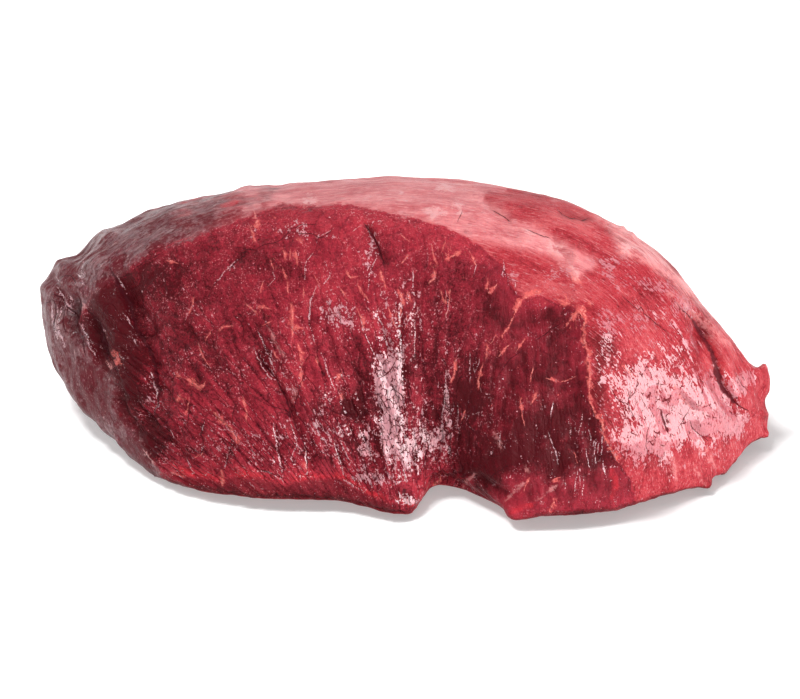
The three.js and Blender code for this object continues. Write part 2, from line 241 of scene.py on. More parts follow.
# Thin dark cracks: half width in mm, then where they run.
CRACKS = (
    (0.32,
        (111, 271), (121, 288), (130, 302), (133, 314), (139, 334), (149, 348), (154, 364), (157, 384),
        (157, 402), (152, 415),
    ),
    (0.25, (88, 311), (96, 324), (100, 335), (103, 349), (108, 365)),
    (0.11, (121, 278), (132, 272), (145, 261), (160, 254)),
    (0.42, (365, 225), (372, 236), (378, 250), (384, 264)),
    (0.11, (179, 345), (177, 356), (178, 367)),
    (0.11, (178, 366), (186, 358), (196, 354)),
    (0.12, (188, 412), (187, 420), (183, 427)),
    (0.15, (205, 418), (199, 432), (202, 446), (198, 456)),
    (0.12, (235, 404), (231, 423)),
    (0.15, (231, 440), (228, 453), (225, 464)),
    (0.12, (222, 394), (226, 389), (232, 386)),
    (0.15, (258, 469), (270, 474), (283, 478)),
    (0.15, (276, 424), (277, 440), (281, 458), (284, 473)),
    (0.22, (256, 350), (265, 366), (276, 382), (285, 400), (292, 414)),
    (0.15, (292, 414), (297, 428), (302, 440), (306, 450)),
    (0.12, (260, 401), (274, 407), (291, 413)),
    (0.12, (290, 413), (296, 399), (299, 386)),
    (0.17, (234, 315), (243, 327), (242, 340)),
    (0.12, (164, 438), (176, 445), (183, 456)),
    (0.14, (236, 247), (253, 249), (262, 245), (276, 242), (288, 233)),
    (0.14, (298, 233), (312, 234), (321, 238), (331, 231)),
    (0.11, (290, 229), (300, 225), (316, 224)),
    (0.14, (228, 271), (237, 260), (247, 253)),
    (0.22, (326, 407), (337, 413), (346, 414)),
    (0.22, (355, 421), (363, 414), (369, 410)),
    (0.15, (306, 452), (308, 474)),
    (0.12, (345, 478), (352, 484), (362, 490)),
    (0.11, (351, 438), (352, 457)),
    (0.12, (316, 398), (320, 412), (326, 424)),
    (0.15, (380, 378), (388, 372), (394, 362)),
    (0.15, (372, 392), (380, 398), (386, 408)),
    (0.15, (392, 390), (402, 396), (404, 408)),
    (0.14, (408, 380), (412, 392), (408, 404)),
    (0.15, (424, 430), (428, 446), (424, 466)),
    (0.11, (520, 352), (508, 362), (498, 376)),
    (0.12, (552, 418), (550, 432), (546, 440)),
    (0.11, (562, 322), (548, 332), (536, 340)),
    (0.12, (508, 466), (494, 474), (484, 486)),
    (0.17, (495, 210), (505, 216), (511, 221)),
    (0.15, (559, 209), (571, 215), (590, 218)),
    (0.11, (462, 212), (458, 221)),
    (0.14, (529, 230), (538, 234), (548, 238)),
    (0.22, (682, 309), (694, 318), (704, 331), (711, 345)),
    (0.24, (711, 345), (717, 360), (719, 376), (726, 389), (734, 401), (748, 411)),
    (0.27, (662, 411), (665, 422), (668, 432)),
    (0.12, (624, 297), (640, 310), (654, 320), (668, 333)),
    (0.11, (636, 300), (644, 310)),
    (0.14, (628, 392), (629, 408), (634, 416)),
    (0.11, (637, 380), (636, 391), (629, 399)),
    (0.12, (689, 420), (696, 431), (707, 440)),
    (0.11, (642, 398), (648, 410)),
    (0.12, (612, 390), (618, 400), (628, 404)),
    (0.11, (650, 424), (646, 440), (650, 456)),
    (0.12, (690, 410), (684, 418), (680, 426)),
    (0.11, (734, 372), (740, 384), (748, 392)),
    (0.28, (54, 295), (61, 298), (68, 307), (71, 311)),
    (0.24, (71, 311), (74, 322), (80, 342), (84, 354)),
    (0.22, (57, 284), (60, 277), (70, 276), (76, 282)),
    (0.20, (46, 304), (52, 300), (56, 304), (55, 330)),
    (0.22, (66, 305), (64, 318), (66, 332)),
    (0.55, (111, 269), (119, 287), (128, 301), (134, 319), (142, 338), (152, 357), (157, 393)),
    (0.35, (87, 310), (97, 322), (100, 342), (108, 361)),
    (0.9, (696, 322), (706, 338), (714, 354), (718, 370), (723, 387), (734, 402)),
)

# Sharp edges with painted glints, pale colour under a clear coat: half width in mm, then where they run.
GLINTS = (
    (0.26, (151, 372), (155, 390), (157, 403), (153, 412)),
    (0.21, (106, 333), (106, 344), (107, 354)),
    (0.26, (56, 278), (58, 290), (64, 304), (70, 312)),
    (0.26, (76, 318), (80, 332), (84, 344)),
    (0.24, (84, 262), (82, 272), (84, 280)),
    (0.26, (221, 276), (228, 268), (236, 260)),
    (0.19, (214, 283), (221, 277)),
    (0.21, (165, 427), (170, 431), (173, 437)),
    (0.26, (187, 461), (190, 467), (193, 473)),
    (0.24, (203, 424), (199, 433)),
    (0.24, (200, 446), (200, 454)),
    (0.26, (226, 456), (224, 468)),
    (0.30, (258, 333), (263, 345), (268, 358), (273, 368)),
    (0.24, (254, 350), (262, 366), (270, 378)),
    (0.26, (273, 424), (275, 440), (279, 458), (283, 481)),
    (0.21, (290, 420), (296, 442), (292, 456)),
    (0.26, (305, 450), (307, 474)),
    (0.24, (246, 438), (250, 448), (254, 454)),
    (0.21, (305, 277), (306, 264), (312, 254)),
    (0.19, (318, 237), (326, 233), (332, 229)),
    (0.19, (298, 226), (304, 224)),
    (0.19, (354, 230), (360, 226)),
    (0.19, (270, 284), (275, 279), (274, 274)),
    (0.26, (315, 289), (310, 303), (309, 319), (312, 332), (314, 341)),
    (0.24, (326, 264), (330, 274), (324, 284)),
    (0.26, (368, 229), (372, 244), (376, 256), (370, 272), (368, 288)),
    (0.26, (377, 314), (382, 328), (387, 346)),
    (0.26, (399, 312), (400, 334), (401, 356)),
    (0.21, (413, 270), (413, 288)),
    (0.21, (415, 304), (415, 330), (415, 356)),
    (0.21, (361, 320), (366, 336), (372, 350)),
    (0.30, (379, 420), (390, 438), (403, 456)),
    (0.30, (359, 428), (366, 444), (376, 464)),
    (0.24, (340, 440), (345, 452), (349, 460)),
    (0.21, (334, 445), (341, 465), (343, 476)),
    (0.21, (322, 354), (328, 372), (334, 388)),
    (0.30, (446, 372), (443, 400), (442, 430), (449, 455)),
    (0.24, (457, 406), (457, 430)),
    (0.21, (470, 355), (470, 380)),
    (0.19, (479, 361), (475, 371)),
    (0.24, (553, 403), (551, 415)),
    (0.27, (549, 434), (551, 442), (555, 451), (558, 462)),
    (0.24, (569, 421), (571, 437)),
    (0.21, (582, 416), (579, 432)),
    (0.24, (589, 431), (591, 445)),
    (0.21, (602, 437), (602, 455)),
    (0.30, (603, 463), (607, 478)),
    (0.24, (577, 473), (574, 493)),
    (0.24, (584, 478), (582, 496)),
    (0.19, (594, 440), (596, 462)),
    (0.19, (586, 450), (590, 470)),
    (0.26, (504, 263), (505, 274)),
    (0.30, (515, 284), (516, 292)),
    (0.19, (446, 292), (448, 304), (446, 316)),
    (0.19, (413, 308), (411, 318)),
    (0.19, (476, 266), (474, 272)),
    (0.26, (257, 471), (268, 473), (278, 478)),
    (0.30, (345, 481), (354, 487), (362, 491)),
    (0.24, (500, 434), (498, 446)),
    (0.40, (57, 285), (59, 291), (66, 301), (70, 307)),
    (0.35, (71, 297), (70, 307)),
    (0.35, (76, 274), (80, 278), (84, 284)),
    (0.45, (52, 306), (54, 322), (58, 338)),
    (0.40, (60, 308), (60, 326), (64, 346)),
    (0.30, (95, 320), (105, 332), (105, 342), (110, 355)),
    (0.30, (82, 326), (88, 344), (94, 356)),
    (0.28, (125, 316), (129, 321), (133, 327)),
    (0.28, (133, 338), (137, 344)),
    (0.28, (118, 278), (124, 288)),
)

# Fat: half width in mm, then where it runs.
FLECKS = (
    # the edge of the outer muscle, and the seam from its top
    (0.80,
        (581, 309), (586, 315), (584, 330), (585, 344), (588, 352), (589, 367), (590, 381), (589, 391),
    ),
    (0.65, (589, 391), (591, 403), (596, 415), (602, 422), (604, 435), (610, 448), (618, 461)),
    (0.69, (540, 291), (531, 294), (524, 298), (518, 304), (516, 311)),
    (0.50, (516, 311), (512, 320), (507, 329), (503, 336)),
    (0.75, (585, 307), (580, 311), (574, 315), (567, 325)),
    # lumps along the seam above it
    (0.88, (550, 242), (552, 250), (562, 256)),
    (0.62, (554, 244), (562, 247)),
    (1.25, (571, 266), (575, 270), (577, 275)),
    (1.00, (573, 278), (579, 282)),
    (1.00, (588, 300), (590, 302)),
    (1.25, (581, 307), (585, 308)),
    (1.50, (618, 246), (626, 249), (630, 253)),
    (0.80, (564, 303), (568, 304), (566, 298)),
    (0.60, (560, 300), (568, 304), (571, 301)),
    # lumps on the membrane
    (1.6, (425, 211), (435, 214), (446, 213)),
    (1.2, (436, 189), (445, 187), (452, 190)),
    (0.9, (455, 204), (461, 209), (458, 213)),
    (0.8, (400, 192), (402, 193)),
    (1.6, (304, 199), (310, 201), (315, 199)),
    (0.7, (525, 230), (530, 233), (537, 234)),
    # stars and short flecks of the cut face
    (0.56, (487, 281), (489, 293), (496, 285)),
    (0.56, (459, 252), (453, 256), (447, 259)),
    (0.50, (445, 240), (444, 247), (442, 252)),
    (0.44, (432, 246), (433, 254), (436, 262)),
    (0.62, (434, 270), (435, 276), (430, 282)),
    (0.44, (470, 252), (473, 259), (476, 265)),
    (0.38, (441, 292), (444, 301)),
    (0.38, (450, 291), (449, 303), (446, 315)),
    (0.56, (407, 256), (402, 262)),
    (0.44, (402, 236), (408, 240)),
    (0.44, (399, 291), (402, 300), (400, 312), (400, 322)),
    (0.40, (408, 293), (411, 299)),
    (0.40, (389, 310), (396, 327)),
    (0.40, (380, 271), (382, 278), (385, 287)),
    (0.50, (346, 271), (350, 277), (357, 276)),
    (0.40, (340, 289), (347, 297)),
    (0.44, (358, 286), (367, 299)),
    (0.47, (357, 310), (363, 320), (364, 329)),
    (0.69, (254, 213), (257, 221), (255, 228)),
    (0.56, (250, 228), (253, 234), (255, 240)),
    (0.44, (270, 261), (273, 268)),
    (0.53, (283, 250), (286, 258)),
    (0.47, (283, 270), (285, 277)),
    (0.56, (295, 251), (297, 263)),
    (0.47, (298, 240), (302, 243)),
    (0.44, (287, 284), (288, 292)),
    (0.38, (262, 284), (261, 290)),
    (0.38, (304, 289), (304, 296)),
    (0.44, (315, 277), (319, 284)),
    (0.56, (291, 305), (293, 314), (292, 329), (293, 336)),
    (0.56, (297, 327), (301, 328)),
    (0.69, (298, 345), (302, 353)),
    (0.47, (301, 356), (300, 371), (302, 385)),
    (0.50, (247, 305), (255, 312)),
    (0.44, (259, 307), (269, 309)),
    (0.44, (220, 330), (226, 326), (231, 326)),
    (0.56, (264, 324), (270, 321)),
    (0.44, (273, 352), (278, 360)),
    (0.44, (198, 344), (202, 356), (208, 364)),
    (0.75, (176, 373), (180, 377)),
    (0.62, (184, 378), (192, 382), (200, 388), (204, 383)),
    (0.75, (211, 410), (221, 421), (230, 427), (234, 436)),
    (0.50, (234, 434), (238, 443)),
    (0.38, (243, 398), (246, 412), (246, 420)),
    (0.40, (188, 399), (186, 412)),
    (0.50, (179, 396), (176, 400)),
    (0.38, (205, 340), (210, 332)),
    (0.38, (193, 300), (190, 312)),
    (0.53, (168, 261), (176, 263)),
    (1.00, (113, 352), (116, 360), (119, 364)),
    (0.62, (106, 362), (109, 367)),
    (0.75, (83, 304), (86, 308)),
    (0.75, (172, 473), (181, 477)),
    (0.50, (144, 452), (152, 462)),
    (0.75, (221, 473), (222, 485)),
    (0.56, (196, 457), (200, 454)),
    (0.50, (304, 464), (308, 470)),
    (0.75, (338, 378), (341, 374)),
    (0.56, (340, 394), (342, 398)),
    (0.38, (316, 356), (318, 364)),
    (0.50, (455, 361), (454, 371), (451, 381)),
    (0.50, (482, 366), (479, 378), (478, 388)),
    (0.75, (487, 346), (487, 357)),
    (0.40, (533, 369), (530, 380)),
    (0.47, (536, 394), (532, 402)),
    (0.44, (561, 382), (567, 380), (574, 377)),
    (0.35, (548, 379), (556, 380)),
    (0.35, (462, 420), (464, 412)),
    (0.35, (495, 336), (491, 343)),
    (0.31, (524, 340), (517, 350)),
    (0.31, (508, 346), (499, 356)),
    (0.50, (554, 480), (559, 478)),
    (0.56, (556, 500), (552, 506), (550, 511)),
    (0.44, (524, 490), (528, 480)),
    (0.44, (520, 400), (524, 424)),
    (0.47, (575, 454), (577, 462)),
    (0.50, (432, 492), (436, 484), (440, 478)),
    # the flap
    (0.53, (675, 387), (682, 397), (690, 405), (695, 413)),
    (0.47, (624, 366), (630, 372), (636, 378)),
)

# Softer streaks and blots of pale tissue: half width in mm, then where they run.
STREAKS = (
    (1.5, (693, 434), (703, 449), (715, 466)),
    (1.1, (663, 446), (673, 460), (676, 479)),
    (0.7, (694, 469), (704, 484)),
    (2.2, (668, 292), (690, 310), (712, 332), (728, 346)),
    (1.0, (758, 362), (764, 368)),
    (3.0, (462, 186), (472, 192), (478, 202)),
    (1.2, (484, 204), (496, 211), (504, 216)),
    (2.4, (596, 212), (612, 224), (630, 234), (648, 246)),
    (1.2, (628, 254), (650, 264), (676, 278), (700, 296)),
    (0.9, (508, 226), (530, 232), (546, 240)),
    (1.1, (494, 434), (498, 442), (500, 448)),
    (1.0, (526, 468), (528, 472)),
    (0.8, (506, 500), (516, 490), (526, 482)),
    (0.8, (536, 500), (546, 492), (556, 486)),
    (0.8, (460, 492), (468, 480), (474, 474)),
    (1.1, (292, 388), (294, 396), (293, 402)),
    (0.8, (270, 330), (276, 344), (284, 356)),
)

# Fresh red meat that shows between the skins: half width in mm, then where it runs.
FRESH = (
    (1.1, (704, 334), (714, 348), (721, 364), (729, 382), (740, 398)),
    (1.0, (222, 206), (230, 203), (238, 201)),
    (1.3, (398, 498), (408, 504), (416, 506)),
    (1.0, (174, 466), (182, 470), (192, 472)),
    (1.2, (510, 512), (520, 508), (532, 505)),
    (1.3, (612, 470), (616, 486), (612, 498)),
    (0.9, (690, 392), (700, 396), (704, 406)),
)

# Patches brighter or darker than the rest, own tone and painted light and shade: strength, centre, half
# sizes.
TONE_AND_PAINTED_LIGHT = (
    (0.25, (320, 216), (90, 18)),
    (0.25, (430, 232), (50, 16)),
    (0.15, (340, 245), (40, 26)),
    (0.25, (330, 300), (44, 50)),
    (0.30, (470, 246), (30, 14)),
    (0.35, (300, 372), (30, 40)),
    (0.25, (384, 330), (16, 60)),
    (0.55, (265, 480), (80, 9)),
    (0.45, (190, 470), (24, 9)),
    (0.40, (430, 486), (40, 14)),
    (0.45, (510, 512), (14, 9)),
    (0.10, (560, 505), (60, 12)),
    (0.35, (540, 288), (46, 14)),
    (-0.35, (150, 275), (28, 24)),
    (-0.25, (176, 300), (40, 40)),
    (-0.30, (300, 272), (26, 12)),
    (-0.25, (256, 262), (18, 10)),
    (-0.25, (200, 360), (24, 24)),
    (-0.25, (270, 345), (14, 22)),
    (-0.20, (230, 372), (26, 20)),
    (-0.45, (356, 406), (20, 12)),
    (-0.25, (386, 446), (8, 18)),
    (-0.15, (440, 300), (24, 40)),
    (-0.25, (490, 300), (34, 34)),
    (-0.40, (560, 322), (24, 18)),
    (-0.22, (520, 360), (46, 30)),
    (-0.35, (470, 400), (30, 34)),
    (-0.35, (536, 410), (50, 30)),
    (-0.45, (510, 450), (50, 26)),
    (-0.20, (580, 440), (22, 34)),
    (-0.30, (560, 462), (40, 18)),
    (-0.50, (478, 478), (22, 16)),
    (0.10, (350, 492), (40, 8)),
    (-0.75, (112, 310), (18, 32)),
    (-0.55, (126, 350), (20, 34)),
    (-0.35, (136, 396), (16, 26)),
    (-0.50, (95, 330), (12, 30)),
    (-0.40, (148, 440), (18, 18)),
    (-0.35, (704, 336), (10, 26)),
    (-0.45, (684, 412), (9, 7)),
    (-0.35, (612, 352), (14, 20)),
    (-0.55, (597, 374), (7, 42)),
    (0.30, (720, 360), (10, 30)),
    (0.30, (220, 400), (70, 60)),
    (0.25, (300, 470), (90, 14)),
    (0.15, (58, 322), (14, 44)),
    (-0.45, (90, 335), (12, 30)),
    (0.35, (118, 234), (44, 10)),
    (-0.60, (100, 392), (26, 30)),
    (-0.45, (136, 450), (24, 20)),
    (-0.35, (76, 290), (14, 12)),
    (-0.30, (190, 222), (40, 8)),
    (0.50, (560, 222), (50, 12)),
    (0.25, (640, 330), (30, 20)),
    (-0.20, (650, 306), (22, 16)),
)

# Where the meat is moist and glossy, with a clear coat and a painted pale sheen: strength, centre, and half
# sizes.
GLOSS = (
    (1.0, (386, 384), (13, 34)),
    (0.5, (400, 372), (6, 40)),
    (1.0, (390, 434), (9, 24)),
    (0.7, (406, 456), (10, 22)),
    (0.7, (366, 444), (7, 20)),
    (0.7, (374, 478), (20, 9)),
    (0.9, (408, 502), (12, 7)),
    (0.7, (424, 434), (11, 30)),
    (0.55, (338, 316), (18, 18)),
    (0.5, (372, 256), (7, 24)),
    (0.5, (446, 404), (5, 40)),
    (0.5, (441, 444), (8, 18)),
    (1.0, (650, 386), (44, 26)),
    (1.0, (714, 412), (28, 34)),
    (0.9, (674, 420), (30, 20)),
    (0.8, (632, 442), (22, 24)),
    (0.7, (660, 446), (18, 20)),
    (0.9, (742, 386), (11, 14)),
    (0.5, (740, 424), (14, 9)),
    (0.55, (610, 268), (22, 16)),
    (0.6, (652, 284), (28, 14)),
    (0.6, (682, 304), (18, 12)),
    (0.5, (606, 336), (16, 24)),
    (0.5, (680, 344), (24, 18)),
    (0.5, (640, 320), (40, 8)),
    (0.5, (514, 278), (9, 12)),
    (0.35, (556, 276), (24, 16)),
    (0.45, (270, 358), (6, 24)),
    (0.35, (296, 394), (8, 14)),
    (0.35, (322, 410), (10, 24)),
    (0.35, (344, 430), (10, 26)),
    (0.22, (300, 440), (50, 30)),
    (0.20, (230, 440), (50, 26)),
    (0.35, (234, 262), (8, 8)),
    (0.35, (300, 232), (40, 10)),
    (0.30, (400, 320), (30, 50)),
    (0.12, (560, 456), (44, 30)),
    (0.35, (150, 390), (6, 26)),
    (0.10, (200, 300), (30, 16)),
)


def smooth_curve(places, steps=5):
    """A Catmull-Rom curve through the places, as an array of points."""
    p = np.array(places, float)
    p = np.vstack([2 * p[0] - p[1], p, 2 * p[-1] - p[-2]])
    t = np.linspace(0, 1, steps, endpoint=False)[:, None]
    parts = [
        0.5 * (2 * b + (c - a) * t + (2 * a - 5 * b + 4 * c - d) * t**2 + (3 * b - a - 3 * c + d) * t**3)
        for a, b, c, d in zip(p, p[1:], p[2:], p[3:])
    ]
    return np.vstack(parts + [p[-2:-1]])


class Nearness:
    """How a line passes a set of places: the distance from it, on which side, at which share of
    its length, and how far past its ends. Places out of reach are endlessly far away."""

    def __init__(self, places, at, reach):
        line = smooth_curve(places)
        count = len(at)
        self.distance = np.full(count, np.inf)
        self.side = np.ones(count)
        self.share = np.zeros(count)
        self.past = np.zeros(count)
        near = ((at > line.min(0) - reach) & (at < line.max(0) + reach)).all(1)
        picked = np.nonzero(near)[0]
        q = at[picked]
        last = len(line) - 2
        for i, (start, end) in enumerate(zip(line, line[1:])):
            run = end - start
            long = np.hypot(*run)
            t = (q - start) @ run / long**2
            held = np.clip(t, 0, 1)
            off = q - start - held[:, None] * run
            length = np.hypot(off[:, 0], off[:, 1])
            closer = length < self.distance[picked]
            spots = picked[closer]
            self.distance[spots] = length[closer]
            self.share[spots] = (i + held[closer]) / (len(line) - 1)
            self.side[spots] = np.sign(run[0] * off[closer, 1] - run[1] * off[closer, 0] + 1e-9)
            over = np.where(i == 0, np.maximum(-t, 0), 0) + np.where(i == last, np.maximum(t - 1, 0), 0)
            self.past[spots] = (over * long)[closer]
        self.distance[self.distance > reach] = np.inf

    def taper(self, ends=0.25):
        """1 along the line, falling to 0 over this share of it at each end."""
        return smoothstep(self.share, 0, ends) * (1 - smoothstep(self.share, 1 - ends, 1))


def inside_distance(outline, at):
    """The distance from a closed outline, positive inside it."""
    ring = np.array(outline + outline[:1], float)
    distance = np.full(len(at), np.inf)
    inside = np.zeros(len(at), bool)
    for start, end in zip(ring, ring[1:]):
        run = end - start
        t = np.clip(((at - start) @ run) / (run @ run), 0, 1)
        off = at - start - t[:, None] * run
        distance = np.minimum(distance, np.hypot(off[:, 0], off[:, 1]))
        crosses = (start[1] > at[:, 1]) != (end[1] > at[:, 1])
        with np.errstate(divide="ignore", invalid="ignore"):
            x = start[0] + (at[:, 1] - start[1]) * run[0] / run[1]
        inside ^= crosses & (at[:, 0] < x)
    return np.where(inside, distance, -distance)


def smoothstep(x, low, high):
    """0 below low, 1 above high, and smooth between."""
    t = np.clip((x - low) / (high - low), 0, 1)
    return t * t * (3 - 2 * t)


def bell(distance, width):
    """1 on a line, falling to 0 on both sides."""
    return np.exp(-((distance / width) ** 2))


def noise(points, seed):
    """Smooth gradient noise, about -1 to 1, with cells one unit wide that lie askew."""
    points = points @ ASKEW
    draw = np.random.default_rng(seed)
    order = draw.permutation(NOISE_CELLS)
    slopes = draw.normal(size=(NOISE_CELLS, 3))
    slopes /= np.linalg.norm(slopes, axis=1)[:, None]
    cell = np.floor(points).astype(int)
    t = points - cell
    fade = t**3 * (t * (t * 6 - 15) + 10)
    total = np.zeros(len(points))
    for corner in itertools.product((0, 1), repeat=3):
        corner = np.array(corner)
        x, y, z = ((cell + corner) % NOISE_CELLS).T
        picked = slopes[order[(order[(order[x] + y) % NOISE_CELLS] + z) % NOISE_CELLS]]
        weight = np.where(corner, fade, 1 - fade).prod(1)
        total += weight * ((t - corner) * picked).sum(1)
    return 1.6 * total


class Sight:
    """The photograph's camera: where it stands, and where it sees a point of the piece."""

    def __init__(self, studio):
        tilt = studio.elevation
        self.target = np.array(studio.target)
        self.back = np.array((0, -math.cos(tilt), math.sin(tilt)))
        self.up = np.array((0, math.sin(tilt), math.cos(tilt)))
        self.right = np.array((1.0, 0, 0))
        self.eye = self.target + self.back * studio.distance
        self.zoom = studio.lens / studio.sensor * PHOTO_WIDTH
        self.mm_per_pixel = studio.distance / self.zoom / MM

    def pixels(self, points):
        off = points - self.eye
        depth = -(off @ self.back)
        x = PHOTO_WIDTH / 2 + self.zoom * (off @ self.right) / depth
        y = PHOTO_HEIGHT / 2 - self.zoom * (off @ self.up) / depth
        return np.stack([x, y], 1)

    def facing(self, points, normals):
        ray = self.eye - points
        ray /= np.linalg.norm(ray, axis=1)[:, None]
        return (ray * normals).sum(1)


class Skin:
    """The vertices of a mesh, and all that is known of each: place, normal, pixel, distances."""

    def __init__(self, piece, sight):
        self.piece = piece
        self.scale = sight.mm_per_pixel
        mesh = piece.data
        self.points = self.gather(mesh.vertices, "co")
        self.normals = self.gather(mesh.vertex_normals, "vector")
        self.pixels = sight.pixels(self.points)
        self.depth = self.points @ sight.back / MM
        facing = sight.facing(self.points, self.normals)
        self.front = smoothstep(facing, 0.0, 0.18)
        self.turned = 1 - smoothstep(facing, 0.0, 0.5)
        uneven = facing + 0.15 * self.noise(20, 53) + 0.05 * self.noise(6, 54)
        self.shown = smoothstep(uneven, -0.45, -0.15)
        self.rim = smoothstep(uneven, -0.2, 0.05)
        self.bent = self.pixels + self.shift(7, 1.1, 31) + self.shift(3.6, 0.5, 33)

    @staticmethod
    def gather(items, name):
        values = np.empty(len(items) * 3, np.float32)
        items.foreach_get(name, values)
        return values.reshape(-1, 3).astype(float)

    def noise(self, size, seed):
        """Smooth noise over the skin, about -1 to 1, with cells of the given size in mm."""
        return noise(self.points / (size * MM), seed)

    def shift(self, pixels, amount, seed):
        """A smooth random shift of up to about the amount, with waves of so many pixels."""
        cells = self.points / (pixels * self.scale * MM)
        return amount * np.stack([noise(cells, seed), noise(cells, seed + 1)], 1)

    def push(self, millimetres):
        """Moves each vertex along its normal, except where the piece lies on the floor."""
        lying = smoothstep(-self.normals[:, 2], 0.75, 0.95)
        points = self.points + self.normals * (millimetres * (1 - lying) * MM)[:, None]
        points[:, 2] = np.maximum(points[:, 2], 0)
        self.piece.data.vertices.foreach_set("co", points.astype(np.float32).ravel())
        self.piece.data.update()

    def store(self, name, values):
        vector = values.ndim == 2
        kind = "FLOAT_VECTOR" if vector else "FLOAT"
        layer = self.piece.data.attributes.new(name, kind, "POINT")
        layer.data.foreach_set("vector" if vector else "value", values.astype(np.float32).ravel())


def fan_coordinates(skin):
    """Across and along the wrinkles of the cut face, and into the meat, in mm."""
    x, y = skin.pixels.T
    start = x.copy()
    below = np.clip(y - FAN_LEVEL, -FAN_REACH, FAN_REACH)
    # where a wrinkle starts depends on how it leans there, so each round comes closer
    for _ in range(12):
        fanned = -(start - FAN_CENTRE[0]) / (FAN_CENTRE[1] - FAN_LEVEL)
        turn = smoothstep(start, *FAN_ENDS)
        start = x - (fanned * (1 - turn) + UPRIGHT_LEAN * turn) * below
    return np.stack([start * skin.scale, y * skin.scale, skin.depth], 1)


def fibre_coordinates(skin):
    """Across and along the fibres of the outer muscle, and into the meat, in mm."""
    x, y = skin.pixels.T
    dx = x - FIBRE_CENTRE[0]
    dy = FIBRE_CENTRE[1] - y
    turn = np.arctan2(dx, dy) * FIBRE_RADIUS
    return np.stack([np.hypot(dx, dy) * skin.scale, turn * skin.scale, skin.depth], 1)


def sheet_coordinates(skin):
    """Across and along the grain of the silverskin and the membrane, in mm."""
    near = Nearness(SHEET_LINE, skin.pixels, SHEET_REACH)
    long = SHEET_LENGTH * near.share
    return np.stack([near.side * near.distance * skin.scale, long * skin.scale, skin.depth], 1)


def stretched(coordinates, across, along):
    """Coordinates in cells of the given size in mm, long along the grain."""
    return coordinates / np.array((across, along, across))


def patch_sum(skin, patches):
    """The strengths of soft patches, added up at each vertex."""
    at = skin.pixels + skin.shift(26, 7, 41) + skin.shift(9, 3, 43)
    total = np.zeros(len(at))
    for strength, centre, half in patches:
        total += strength * np.exp(-(((at - centre) / half) ** 2).sum(1))
    return total


def tag_height(skin):
    """The tags and dents of the edge as relief, in mm."""
    total = np.zeros(len(skin.points))
    for stand, centre, half in TAGS:
        total += stand * np.exp(-(((skin.pixels - centre) / half) ** 2).sum(1))
    return total * skin.shown


class Zones:
    """How much of each kind of surface there is at each vertex, from 0 to 1, and the tone, which is over 0
    where the meat is brighter than usual and under 0 where it is darker, partly its own colour and partly
    painted light and shade."""

    def __init__(self, skin):
        self.skin = skin
        # where the skin turns away a pixel spans many millimetres, so the borders wander further
        self.at = skin.bent + skin.shift(70, 45, 51) * (1 - skin.front)[:, None]
        self.ragged = 0.5 * skin.noise(9, 11) + 0.3 * skin.noise(3, 12)
        self.ragged *= 1 + 4 * skin.turned
        self.patches = skin.noise(38, 13) + 0.5 * skin.noise(13, 14) + 0.25 * skin.noise(5, 16)
        self.cover()
        self.trim()
        self.light()

    def within(self, outline, ragged):
        """The distance into an outline in mm, with a border that is ragged by so many mm."""
        return inside_distance(outline, self.at) * self.skin.scale + ragged * self.ragged

    def cover(self):
        """The cut face in front, and the silverskin, the membrane and the fat on all sides."""
        skin = self.skin
        behind = 1 - skin.shown
        silver = np.zeros(len(self.at))
        for outline in SILVER_OUTLINES:
            silver = np.maximum(silver, smoothstep(self.within(outline, 3), -5, 1))
        silver *= 1 - smoothstep(self.at[:, 0] + 40 * self.ragged, *SILVER_FADES)
        film = smoothstep(self.within(FILM_OUTLINE, 2), -3, 1.5)
        # the border of the cut face is softer where a skin covers its rim
        blend = 0.7 + 4.4 * silver + 2.2 * film
        self.cut = smoothstep(self.within(CUT_OUTLINE, 1) / blend, -1, 1) * skin.front
        x, y, _ = skin.points.T / MM
        back_film = smoothstep(self.patches, 0.05, 0.5) * smoothstep(y, 5, 40)
        back_silver = smoothstep(-self.patches, 0.1, 0.5) * smoothstep(-x, 10, 80)
        back_silver = np.maximum(back_silver, smoothstep(-x, 112, 126))
        self.silver = silver * skin.shown + back_silver * behind
        self.film = (film * skin.shown + back_film * behind) * (1 - self.silver)
        self.edge = smoothstep(self.within(EDGE_FAT_OUTLINE, 2), -1.5, 3) * skin.rim

    def trim(self):
        """The lip along the foot with the hem under it, and where the cut face is cracked."""
        skin = self.skin
        lip = Nearness(LIP_LINE, skin.bent, 80)
        distance = lip.distance * skin.scale
        above = np.where(lip.side < 0, 1.0, 0.0)
        self.lip = bell(distance, 0.5 + 1.3 * above) * lip.taper(0.1) * skin.front
        self.hem = smoothstep(lip.side * distance, 0.2, 1.4) * lip.taper(0.02)
        self.hem = np.where(np.isfinite(distance), self.hem, 0) * skin.front
        # the cut face is smoother on its right, and cracks more towards its foot
        across, down = skin.pixels.T
        self.rough = 1 - 0.7 * self.cut * smoothstep(across, 450, 510)
        self.creased = self.cut * (1 - self.hem) * self.rough
        self.creased *= 0.4 + 0.6 * smoothstep(down, 270, 380)

    def light(self):
        """Where the meat is brighter or darker, partly by its own tone and partly as painted light and
        shade, and where wetness and painted sheen lie.
        """
        skin = self.skin
        behind = 1 - skin.shown
        # the tone is partly the meat's own and partly painted light and shade
        self.tone = patch_sum(skin, TONE_AND_PAINTED_LIGHT) * skin.shown + 0.3 * self.patches * behind
        self.gloss = np.clip(patch_sum(skin, GLOSS), 0, 1) * skin.front
        self.gloss += smoothstep(skin.noise(24, 15), 0.1, 0.6) * 0.4 * behind


